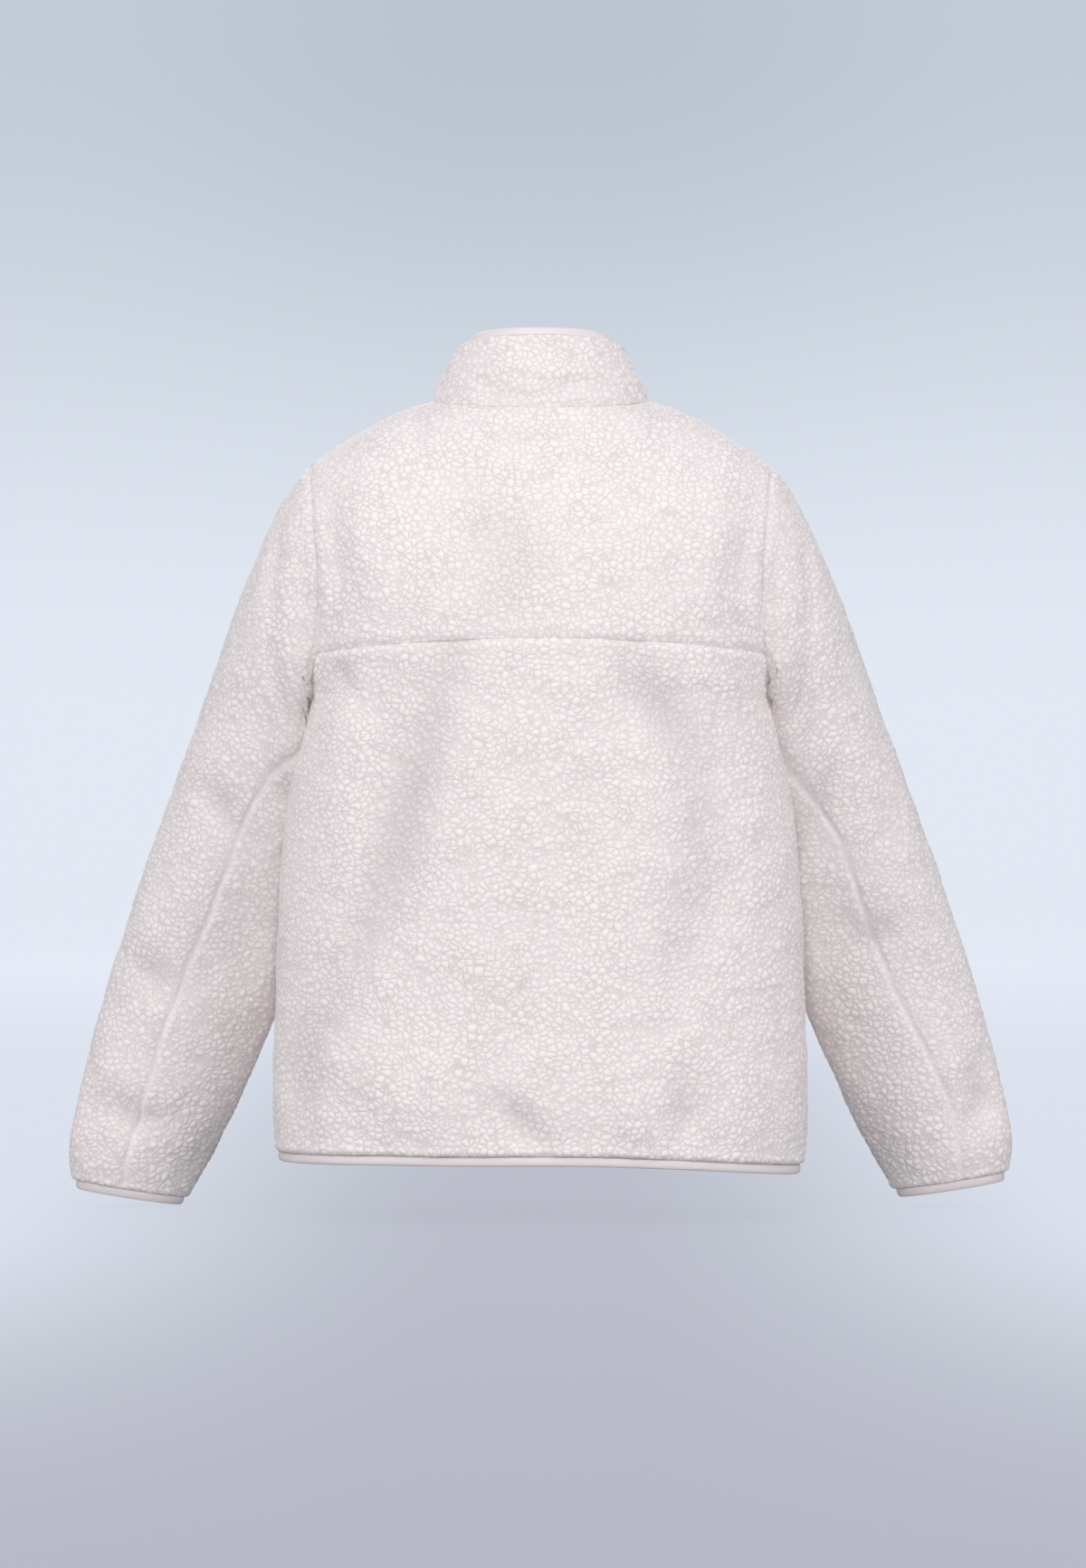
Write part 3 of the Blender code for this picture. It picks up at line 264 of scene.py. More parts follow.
@dataclass(frozen=True)
class Pile:
    """The curly pile's pattern, shared by the mesh's relief and the colour on it."""

    clump_scale: float = 158.0
    patch_scale: float = 26.0
    drift_scale: float = 60.0
    drift: float = 5.0 * MM
    curl_scale: float = 330.0
    curl: float = 1.5 * MM
    clump_height: float = 0.95 * MM
    patch_height: float = 1.5 * MM

    def moved(self, sheet: NodeSheet, place: Socket, scale: float, reach: float) -> Socket:
        """The place on the cloth, pushed about so that clumps aren't plain cells."""
        shift = sheet.noise(place, scale, 0.0).outputs["Color"]
        centred = sheet.vector("SUBTRACT", shift, (0.5, 0.5, 0.5))
        return sheet.vector("ADD", place, sheet.scaled(centred, reach))

    def edge(self, sheet: NodeSheet, rest: Socket) -> Socket:
        """Distance from the crack between clumps, in clump sizes."""
        curly = self.moved(sheet, rest, self.curl_scale, self.curl)
        return sheet.cells(curly, self.clump_scale)

    def relief(self) -> bpy.types.NodeTree:
        """A geometry node tree that raises the pile where the attribute "pile" says."""
        tree = bpy.data.node_groups.new("pile_relief", "GeometryNodeTree")
        tree.interface.new_socket("Geometry", in_out="INPUT", socket_type="NodeSocketGeometry")
        tree.interface.new_socket("Geometry", in_out="OUTPUT", socket_type="NodeSocketGeometry")
        sheet = NodeSheet(tree)
        start = sheet.add("NodeGroupInput")
        place = sheet.add("GeometryNodeInputPosition").outputs[0]
        flat = sheet.vector("MULTIPLY", place, (1.0, 1.0, 1.15))
        rest = self.moved(sheet, flat, self.drift_scale, self.drift)
        patch = sheet.noise(place, self.patch_scale, 2.0).outputs[0]
        geometry = start.outputs[0]
        for name, kind, value in (("rest", "FLOAT_VECTOR", rest), ("patch", "FLOAT", patch)):
            keep = sheet.add(
                "GeometryNodeStoreNamedAttribute",
                {"Geometry": geometry, "Name": name, "Value": value},
                data_type=kind, domain="POINT",
            )
            geometry = keep.outputs[0]
        amount = sheet.add(
            "GeometryNodeInputNamedAttribute", {"Name": "pile"}, data_type="FLOAT"
        ).outputs[0]
        clump = sheet.ramp(self.edge(sheet, rest), 0.0, 0.42, 0.0, self.clump_height)
        lump = sheet.ramp(patch, 0.3, 0.7, 0.0, self.patch_height)
        height = sheet.calc("MULTIPLY", sheet.calc("ADD", clump, lump), amount)
        normal = sheet.add("GeometryNodeInputNormal").outputs[0]
        moved = sheet.add(
            "GeometryNodeSetPosition",
            {"Geometry": geometry, "Offset": sheet.scaled(normal, height)},
        )
        end = sheet.add("NodeGroupOutput")
        tree.links.new(moved.outputs[0], end.inputs[0])
        return tree


# ---------------------------------------------------------------- finishes


def new_material(
    name: str, values: dict[str, object]
) -> tuple[bpy.types.Material, NodeSheet, bpy.types.Node]:
    """Make a material.

    Args:
        name: the material's name.
        values: what is the same all over it, set on the shader's own sockets.

    Returns:
        The material, its node sheet and its Principled shader.
    """
    material = bpy.data.materials.new(name)
    material.use_nodes = True
    shader = material.node_tree.nodes["Principled BSDF"]
    for socket, value in values.items():
        shader.inputs[socket].default_value = value
    return material, NodeSheet(material.node_tree), shader


def toned(colour: Colour, factor: float) -> Colour:
    """A colour made lighter or darker."""
    return tuple(min(1.0, part * factor) for part in colour[:3]) + (1.0,)


@dataclass(frozen=True)
class FleeceFinish:
    """Curly off-white pile: clumps lighter in the middle with painted shade towards their edges, soft pinkish cracks
    darkened with painted shade, painted shade along creases, and a fibrous surface.
    """

    name: str = "curly_fleece"
    light: Colour = (0.90, 0.845, 0.83, 1.0)
    # colour of the painted shade towards each clump's edges
    shade: Colour = (0.79, 0.72, 0.715, 1.0)
    # pinkish crack colour, darkened as painted shade between clumps
    crack: Colour = (0.62, 0.535, 0.54, 1.0)
    # colour of the painted shade along creases and where the sleeves meet the body
    painted_crease_shade: Colour = (0.50, 0.46, 0.46, 1.0)
    fibre_scale: float = 900.0
    clump_edge: tuple[float, float] = (0.04, 0.42)
    crack_edge: tuple[float, float] = (0.05, 0.24)
    crack_shade_share: float = 0.62
    shade_share: float = 0.4
    bump_height: float = 0.8 * MM
    bump_strength: float = 0.38

    def make(self, pile: Pile) -> bpy.types.Material:
        """Build the material on the cloth's own rest place."""
        material, sheet, shader = new_material(self.name, {
            "Roughness": 0.95, "Specular IOR Level": 0.12,
            "Sheen Weight": 0.25, "Sheen Roughness": 0.5,
        })
        rest = sheet.stored("rest", "Vector")
        amount = sheet.stored("pile")
        fibre = sheet.noise(rest, self.fibre_scale, 2.0).outputs[0]
        fuzzy = sheet.calc("ADD", pile.edge(sheet, rest), sheet.calc("MULTIPLY", fibre, 0.14))
        clump = sheet.ramp(fuzzy, *self.clump_edge, 0.0, 1.0)
        # Painted shade in the cracks between clumps, varied at random by the patch noise.
        parting = sheet.ramp(sheet.stored("patch"), 0.35, 0.65, 0.6, 1.0)
        crack = sheet.ramp(fuzzy, *self.crack_edge, self.crack_shade_share, 0.0)
        crack = sheet.calc("MULTIPLY", sheet.calc("MULTIPLY", crack, parting), amount)
        # Painted shade on each clump: darker from its middle towards its edges.
        body = sheet.blend(
            sheet.ramp(clump, 0.0, 1.0, self.shade_share, 0.0), self.light, self.shade
        )
        body = sheet.blend(crack, body, self.crack)
        # Painted shade along the creases, from the amount stored on the mesh.
        body = sheet.blend(sheet.stored("painted_crease_shade"), body, self.painted_crease_shade)
        sheet.feed(shader.inputs["Base Color"], body)
        relief = sheet.calc("ADD", clump, sheet.calc("MULTIPLY", fibre, 0.5))
        relief = sheet.calc("MULTIPLY", relief, sheet.calc("ADD", amount, 0.15))
        sheet.bump(shader, relief, self.bump_height, self.bump_strength)
        return material


@dataclass(frozen=True)
class WovenFinish:
    """A woven strip: fine ribs across it, with painted shade in the grooves between them, and a slight gloss."""

    name: str
    colour: Colour
    rib_scale: float
    rib_depth: float = 0.12 * MM
    fuzz_scale: float = 1400.0
    tone_scale: float = 60.0

    def make(self) -> bpy.types.Material:
        """Build the material, with its ribs along the attribute "run"."""
        material, sheet, shader = new_material(
            self.name, {"Roughness": 0.55, "Sheen Weight": 0.2}
        )
        place = sheet.add("ShaderNodeTexCoord").outputs["Object"]
        wave = sheet.calc("SINE", sheet.calc("MULTIPLY", sheet.stored("run"), self.rib_scale))
        rib = sheet.ramp(wave, -1.0, 1.0, 0.0, 1.0)
        fuzz = sheet.noise(place, self.fuzz_scale, 2.0).outputs[0]
        tone = sheet.noise(place, self.tone_scale, 2.0).outputs[0]
        # Painted shade: darker in the grooves between ribs, where the bump is lowest.
        colour = sheet.blend(
            sheet.ramp(rib, 0.0, 0.6, 0.35, 0.0), self.colour, toned(self.colour, 0.88)
        )
        colour = sheet.blend(
            sheet.ramp(tone, 0.3, 0.7, 0.0, 0.6), colour, toned(self.colour, 0.95)
        )
        sheet.feed(shader.inputs["Base Color"], colour)
        relief = sheet.calc("ADD", rib, sheet.calc("MULTIPLY", fuzz, 0.4))
        sheet.bump(shader, relief, self.rib_depth, 0.6)
        return material


@dataclass(frozen=True)
class HardFinish:
    """Metal or moulded plastic, with fine wear in its gloss."""

    name: str
    colour: Colour
    metallic: float
    roughness: float
    grain_scale: float = 700.0
    smear_scale: float = 160.0

    def make(self) -> bpy.types.Material:
        """Build the material on Object coordinates."""
        material, sheet, shader = new_material(self.name, {"Metallic": self.metallic})
        place = sheet.add("ShaderNodeTexCoord").outputs["Object"]
        grain = sheet.noise(place, self.grain_scale, 3.0).outputs[0]
        smear = sheet.noise(place, self.smear_scale, 2.0).outputs[0]
        worn = sheet.blend(
            sheet.ramp(smear, 0.4, 0.7, 0.0, 0.6), self.colour, toned(self.colour, 1.12)
        )
        sheet.feed(shader.inputs["Base Color"], worn)
        rough = sheet.ramp(grain, 0.3, 0.7, self.roughness * 0.8, self.roughness * 1.25)
        sheet.feed(shader.inputs["Roughness"], rough)
        sheet.bump(shader, grain, 0.03 * MM, 1.0)
        return material


@dataclass(frozen=True)
class ThreadFinish:
    """Sewing thread: plied, matt, the cloth's own colour."""

    name: str = "sewing_thread"
    colour: Colour = (0.80, 0.77, 0.78, 1.0)
    ply_scale: float = 2600.0

    def make(self) -> bpy.types.Material:
        """Build the material on Object coordinates."""
        material, sheet, shader = new_material(self.name, {"Roughness": 0.7})
        place = sheet.add("ShaderNodeTexCoord").outputs["Object"]
        ply = sheet.noise(place, self.ply_scale, 1.0).outputs[0]
        colour = sheet.blend(
            sheet.ramp(ply, 0.35, 0.65, 0.0, 1.0), self.colour, toned(self.colour, 0.85)
        )
        sheet.feed(shader.inputs["Base Color"], colour)
        sheet.bump(shader, ply, 0.08 * MM, 1.0)
        return material


@dataclass(frozen=True)
class RollFinish:
    """Turned-in cloth at a seam: short, pressed pile."""

    name: str = "pressed_fleece"
    light: Colour = (0.86, 0.80, 0.79, 1.0)
    shade: Colour = (0.74, 0.67, 0.67, 1.0)
    nap_scale: float = 650.0

    def make(self) -> bpy.types.Material:
        """Build the material on Object coordinates."""
        material, sheet, shader = new_material(
            self.name, {"Roughness": 0.9, "Sheen Weight": 0.2}
        )
        place = sheet.add("ShaderNodeTexCoord").outputs["Object"]
        nap = sheet.noise(place, self.nap_scale, 3.0).outputs[0]
        colour = sheet.blend(sheet.ramp(nap, 0.35, 0.6, 0.0, 1.0), self.shade, self.light)
        sheet.feed(shader.inputs["Base Color"], colour)
        sheet.bump(shader, nap, 0.5 * MM, 0.6)
        return material


@dataclass(frozen=True)
class BackdropFinish:
    """The studio's pale floor and sweep, which glows softly itself so that it looks even.

    The glow is darker on the floor near the camera and below the jacket, a painted shadow of the jacket, and high on
    the wall, a painted fall-off of the studio light.
    """

    name: str = "studio_sweep"
    base: Colour = (0.03, 0.031, 0.034, 1.0)
    # colour of the painted shadow on the floor in front of and below the jacket
    near: Colour = (0.44, 0.455, 0.525, 1.0)
    level: Colour = (0.745, 0.80, 0.885, 1.0)
    # colour of the painted fall-off of light high on the wall
    high: Colour = (0.485, 0.535, 0.605, 1.0)
    glow_on_jacket: float = 0.3

    def make(self) -> bpy.types.Material:
        """A matt colour and a glow that changes from front to back and with height."""
        material, sheet, shader = new_material(
            self.name, {"Base Color": self.base, "Roughness": 1.0, "Specular IOR Level": 0.0}
        )
        place = sheet.add("ShaderNodeTexCoord").outputs["Object"]
        across, depth, height = sheet.add("ShaderNodeSeparateXYZ", {0: place}).outputs
        away = sheet.calc("ABSOLUTE", across)
        # Painted shadow: how much of the level glow shows, low on the floor in front of the jacket and least in line
        # with it.
        lit = sheet.calc(
            "MULTIPLY",
            sheet.ramp(depth, 0.2, 2.5, 0.8, 0.0),
            sheet.ramp(away, 0.05, 0.55, 0.15, 1.0),
        )
        beyond = sheet.calc(
            "MAXIMUM", sheet.ramp(depth, 3.0, 5.5, 0.0, 1.0), sheet.ramp(away, 0.6, 2.0, 0.0, 1.0)
        )
        beyond = sheet.calc("MAXIMUM", beyond, sheet.ramp(depth, -9.0, -1.5, 1.0, 0.0))
        glow = sheet.blend(beyond, sheet.blend(lit, self.near, self.level), self.level)
        # Painted fall-off of the light: darker higher on the wall, less so towards the sides.
        side = sheet.ramp(away, 0.2, 1.9, 1.0, 0.82)
        rise = sheet.calc("MULTIPLY", sheet.ramp(height, -0.1, 2.4, 0.0, 1.0), side)
        sheet.feed(shader.inputs["Emission Color"], sheet.blend(rise, glow, self.high))
        seen = sheet.add("ShaderNodeLightPath").outputs["Is Camera Ray"]
        strength = sheet.ramp(seen, 0.0, 1.0, self.glow_on_jacket, 1.0)
        sheet.feed(shader.inputs["Emission Strength"], strength)
        return material


# ---------------------------------------------------------------- meshes


def link(name: str, mesh: bpy.types.Mesh) -> bpy.types.Object:
    """Put a mesh into the scene as an object at the origin."""
    made = bpy.data.objects.new(name, mesh)
    bpy.context.scene.collection.objects.link(made)
    return made


def pick(target: bpy.types.Object) -> None:
    """Select this object alone and make it the active one."""
    bpy.ops.object.select_all(action="DESELECT")
    target.select_set(True)
    bpy.context.view_layer.objects.active = target


def take_mesh(model: bpy.types.Object) -> tuple[np.ndarray, list[tuple]]:
    """A modelled object's points and faces. The object itself is taken out of the scene."""
    verts = np.array([tuple(vert.co) for vert in model.data.vertices])
    faces = [tuple(face.vertices) for face in model.data.polygons]
    bpy.data.objects.remove(model)
    return verts, faces


def mesh_object(name: str, verts: np.ndarray, faces: list[tuple]) -> bpy.types.Object:
    """A new object made of points and faces."""
    mesh = bpy.data.meshes.new(name)
    mesh.from_pydata(verts.reshape(-1, 3).tolist(), [], faces)
    mesh.update()
    return link(name, mesh)


def unit(vectors: np.ndarray) -> np.ndarray:
    """Vectors of length 1."""
    return vectors / np.maximum(np.linalg.norm(vectors, axis=-1, keepdims=True), 1e-9)


def dress(piece: bpy.types.Object, material: bpy.types.Material, slot: str, body: str) -> None:
    """Give a piece its one material, the record's slot and the body it rides on."""
    piece.data.materials.clear()
    piece.data.materials.append(material)
    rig.slot(piece, slot)
    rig.ride(piece, body)
    LOG.info("%s: %d faces, rides on %s", piece.name, len(piece.data.polygons), body)


def merged_copy(node: str) -> bmesh.types.BMesh:
    """A copy of a CAD node's mesh with its loose triangles joined up."""
    work = bmesh.new()
    work.from_mesh(frame["nodes"][node].data)
    bmesh.ops.remove_doubles(work, verts=work.verts[:], dist=MERGE_DISTANCE)
    return work


class WallReader:
    """Reads a CAD wall's outer surface back as rows of points."""

    THICKNESSES = (3.2 * MM, 4.0 * MM)

    def __init__(self, node: str) -> None:
        """Merge a copy of the node's loose triangles and find its outer surface."""
        self.work = merged_copy(node)
        self.work.faces.ensure_lookup_table()
        rim = self.rim_faces()
        self.outer = self.largest_region(set(self.work.faces) - rim)
        self.outer |= {face for face in rim if self.count_near(face, self.outer) > 1}

    def count_near(self, face: bmesh.types.BMFace, group: set) -> int:
        """How many of a face's neighbours, without the face itself, are in a group."""
        near = {other for edge in face.edges for other in edge.link_faces} - {face}
        return len(near & group)

    def rim_faces(self) -> set:
        """The faces round the wall's edge, which hold the edges that go through the wall."""
        near = {
            face
            for edge in self.work.edges
            if any(abs(edge.calc_length() - wall) < 0.01 * MM for wall in self.THICKNESSES)
            for face in edge.link_faces
        }
        return {face for face in near if self.count_near(face, near) > 1}

    def largest_region(self, left: set) -> set:
        """The largest part of the faces that are left, of those that join edge to edge."""
        best, best_area = set(), 0.0
        while left:
            seed = left.pop()
            region, front = {seed}, [seed]
            while front:
                face = front.pop()
                near = {other for edge in face.edges for other in edge.link_faces} & left
                left -= near
                region |= near
                front += near
            area = sum(face.calc_area() for face in region)
            if area > best_area:
                best, best_area = region, area
        return best

    def rims(self) -> list[list]:
        """The closed loops of points round the outer surface's edge.

        Each starts at its least point by place, and not at whichever comes first out of a set,
        so that every run gives the same grid and the same stitches.
        """
        edges = {
            edge
            for face in self.outer
            for edge in face.edges
            if sum(other in self.outer for other in edge.link_faces) == 1
        }
        loops = []
        while edges:
            edge = min(edges, key=lambda rim: sorted(tuple(vert.co) for vert in rim.verts))
            edges.discard(edge)
            start, at = sorted(edge.verts, key=lambda vert: tuple(vert.co))
            loop = [start, at]
            while at is not start:
                edge = next(other for other in at.link_edges if other in edges)
                edges.discard(edge)
                at = edge.other_vert(at)
                loop.append(at)
            loops.append(loop[:-1])
        return loops

    def third(self, first: bmesh.types.BMVert, second: bmesh.types.BMVert, used: set) -> tuple:
        """The unused outer triangle on an edge, and its third point, or a pair of None."""
        edge = self.work.edges.get((first, second))
        for face in edge.link_faces if edge else ():
            if face in self.outer and face not in used:
                return face, next(vert for vert in face.verts if vert not in (first, second))
        return None, None

    def next_row(self, row: list, start: bmesh.types.BMVert, used: set, closed: bool) -> list:
        """The row of points beyond a row.

        Args:
            row: the points of the row.
            start: the new row's first point.
            used: the faces passed so far, to which the new ones are added.
            closed: whether the row is a ring.

        Returns:
            The new row, or an empty list where it doesn't fit.
        """
        made = [start]
        pairs = list(zip(row, row[1:] + row[:1])) if closed else list(zip(row, row[1:]))
        for here, ahead in pairs:
            face, far = self.third(here, ahead, used)
            used.add(face)
            if far is made[-1]:
                face, far = self.third(far, ahead, used)
            else:
                face, back = self.third(here, far, used) if far else (None, None)
                if back is not made[-1]:
                    return []
            used.add(face)
            if far is None:
                return []
            made.append(far)
        if closed and made.pop() is not start:
            return []
        return made

    def sheet_rows(self, rows: int, columns: int) -> np.ndarray:
        """Rows of points from the lowest edge up, for a piece with four sides.

        Args:
            rows: how many rows of points the wall was made with.
            columns: how many points each row has.

        Returns:
            The places of the points.
        """
        (loop,) = self.rims()
        found = []
        for turn in range(len(loop)):
            ring = loop[turn:] + loop[:turn]
            made = self.walk_rows(ring, rows, columns)
            if made:
                found.append(np.array([[tuple(vert.co) for vert in line] for line in made]))
        return min(found, key=lambda grid: grid[0, :, 2].mean())

    def walk_rows(self, ring: list, rows: int, columns: int) -> list[list]:
        """All the rows, if a corner is at the start of this ring, or an empty list."""
        right = ring[columns - 1 : columns + rows - 1]
        left = [ring[0]] + ring[: 1 - rows - 1 : -1]
        used: set = set()
        made = [ring[:columns]]
        for start, end in zip(left[1:], right[1:]):
            row = self.next_row(made[-1], start, used, False)
            if not row or row[-1] is not end:
                return []
            made.append(row)
        return made

    def tube_rows(self) -> np.ndarray:
        """Rings of points from the highest edge down, for a tube."""
        ring, last = sorted(self.rims(), key=lambda loop: -sum(v.co.z for v in loop) / len(loop))
        ends = set(last)
        used: set = set()
        rows = [ring]
        while rows[-1][0] not in ends:
            near = {
                vert for face in rows[-1][0].link_faces if face in self.outer and face not in used
                for vert in face.verts
            } - set(rows[-1])
            best, best_length = [], math.inf
            for start in near:
                trial = set(used)
                made = self.next_row(rows[-1], start, trial, True)
                length = sum((far.co - here.co).length for far, here in zip(made, rows[-1]))
                if made and length < best_length:
                    best, best_used, best_length = made, trial, length
            rows.append(best)
            used = best_used
        return np.array([[tuple(vert.co) for vert in line] for line in rows])


def smooth_curve(values: np.ndarray, knots: np.ndarray, places: np.ndarray) -> np.ndarray:
    """Values on a smooth curve through rows of values.

    Args:
        values: one row for each knot.
        knots: where the rows stand, rising.
        places: where values are wanted.

    Returns:
        One row for each place.
    """
    slopes = np.gradient(values, knots, axis=0)
    at = np.clip(np.searchsorted(knots, places, side="right") - 1, 0, len(knots) - 2)
    span = knots[at + 1] - knots[at]
    shape = (-1,) + (1,) * (values.ndim - 1)
    t = ((places - knots[at]) / span).reshape(shape)
    span = span.reshape(shape)
    return (
        (2 * t**3 - 3 * t**2 + 1) * values[at]
        + (t**3 - 2 * t**2 + t) * slopes[at] * span
        + (3 * t**2 - 2 * t**3) * values[at + 1]
        + (t**3 - t**2) * slopes[at + 1] * span
    )


def raised(points: np.ndarray, low: float, high: float, rise: float) -> np.ndarray:
    """Collar points whose top edge rises at the sides of the neck, level at back and front.

    Args:
        points: places on the collar.
        low: the height from which it rises.
        high: the height of the top edge.
        rise: how far the top edge rises.

    Returns:
        The moved places.
    """
    back = points[..., 1].max()
    depth = np.clip((back - points[..., 1]) / (back - points[..., 1].min()), 0.0, 1.0)
    made = points.copy()
    share = np.clip((points[..., 2] - low) / (high - low), 0.0, 1.0)
    made[..., 2] += rise * np.sin(depth * math.pi) ** 0.8 * share
    return made


def chord_knots(points: np.ndarray) -> np.ndarray:
    """Mean distance along the first axis of a grid of points."""
    steps = np.linalg.norm(np.diff(points, axis=0), axis=-1).mean(axis=1)
    return np.concatenate([[0.0], np.cumsum(steps)])


class EdgeKind(Enum):
    """How the cloth ends at an edge: in an open groove, a closed seam, or under a binding."""

    GROOVE = "groove"
    CLOSED = "closed"
    BOUND = "bound"


@dataclass(frozen=True)
class EdgeShape:
    """The cloth's section beside an edge: a groove, then a low puff."""

    undo: float
    depth: float
    width: float
    puff: float
    puff_at: float = 9.0 * MM
    puff_width: float = 6.0 * MM
    bare: float = 0.88

    def lift(self, distance: np.ndarray) -> np.ndarray:
        """How far the cloth stands out at distances from the edge."""
        groove = -self.depth * np.exp(-((distance / self.width) ** 2))
        crest = self.puff * np.exp(-(((distance - self.puff_at) / self.puff_width) ** 2))
        return groove + crest


EDGE_SHAPES = {
    EdgeKind.GROOVE: EdgeShape(undo=1.8 * MM, depth=3.3 * MM, width=3.6 * MM, puff=0.9 * MM),
    EdgeKind.CLOSED: EdgeShape(
        undo=1.8 * MM, depth=1.5 * MM, width=3.0 * MM, puff=0.5 * MM, bare=0.35
    ),
    EdgeKind.BOUND: EdgeShape(
        undo=1.0 * MM, depth=2.4 * MM, width=1.8 * MM, puff=1.2 * MM,
        puff_at=3.0 * MM, puff_width=4.5 * MM, bare=0.4,
    ),
}


@dataclass(frozen=True)
class Crease:
    """A soft trough or ridge on the back (side 1) or front (side -1), along a few places."""

    side: int
    path: tuple[tuple[float, float], ...]
    width: float
    height: float
    # how much painted shade darkens the cloth along it, where its depth doesn't give that
    shade: float | None = None

    def share(self, points: np.ndarray, normals: np.ndarray) -> np.ndarray:
        """How strongly it acts at each point, from 0 to 1."""
        off, along = path_distance(self.path, points)
        facing = np.clip(normals[..., 1] * self.side * 1.6, 0.0, 1.0)
        taper = 0.35 + 0.65 * np.sin(np.clip(along, 0.0, 1.0) * math.pi)
        return taper * facing * np.exp(-((off / self.width) ** 2))

    def tone(self) -> float:
        """How much painted shade darkens the cloth along it: given, or by its depth."""
        return self.shade if self.shade is not None else 0.042 * max(0.0, -self.height / MM)


def path_distance(path: Sequence, points: np.ndarray) -> tuple[np.ndarray, np.ndarray]:
    """How far points are from a line, seen from behind, and where along it they are.

    Args:
        path: places across and up.
        points: a grid of points.

    Returns:
        The distance, and the share of the line's length, for each point.
    """
    line = np.array(path)
    runs = np.diff(line, axis=0)
    starts = np.concatenate([[0.0], np.cumsum(np.linalg.norm(runs, axis=1))])
    flat = points[..., [0, 2]]
    best = np.full(points.shape[:-1], np.inf)
    where = np.zeros(points.shape[:-1])
    for start, run, before in zip(line, runs, starts):
        length = np.linalg.norm(run)
        along = np.clip((flat - start) @ run / length**2, 0.0, 1.0)
        off = np.linalg.norm(flat - start - along[..., None] * run, axis=-1)
        nearer = off < best
        best = np.where(nearer, off, best)
        where = np.where(nearer, (before + along * length) / starts[-1], where)
    return best, where


class Side(Enum):
    """One edge of a cut piece, as an index into its grid."""

    FIRST = (0, slice(None))
    LAST = (-1, slice(None))
    LEFT = (slice(None), 0)
    RIGHT = (slice(None), -1)


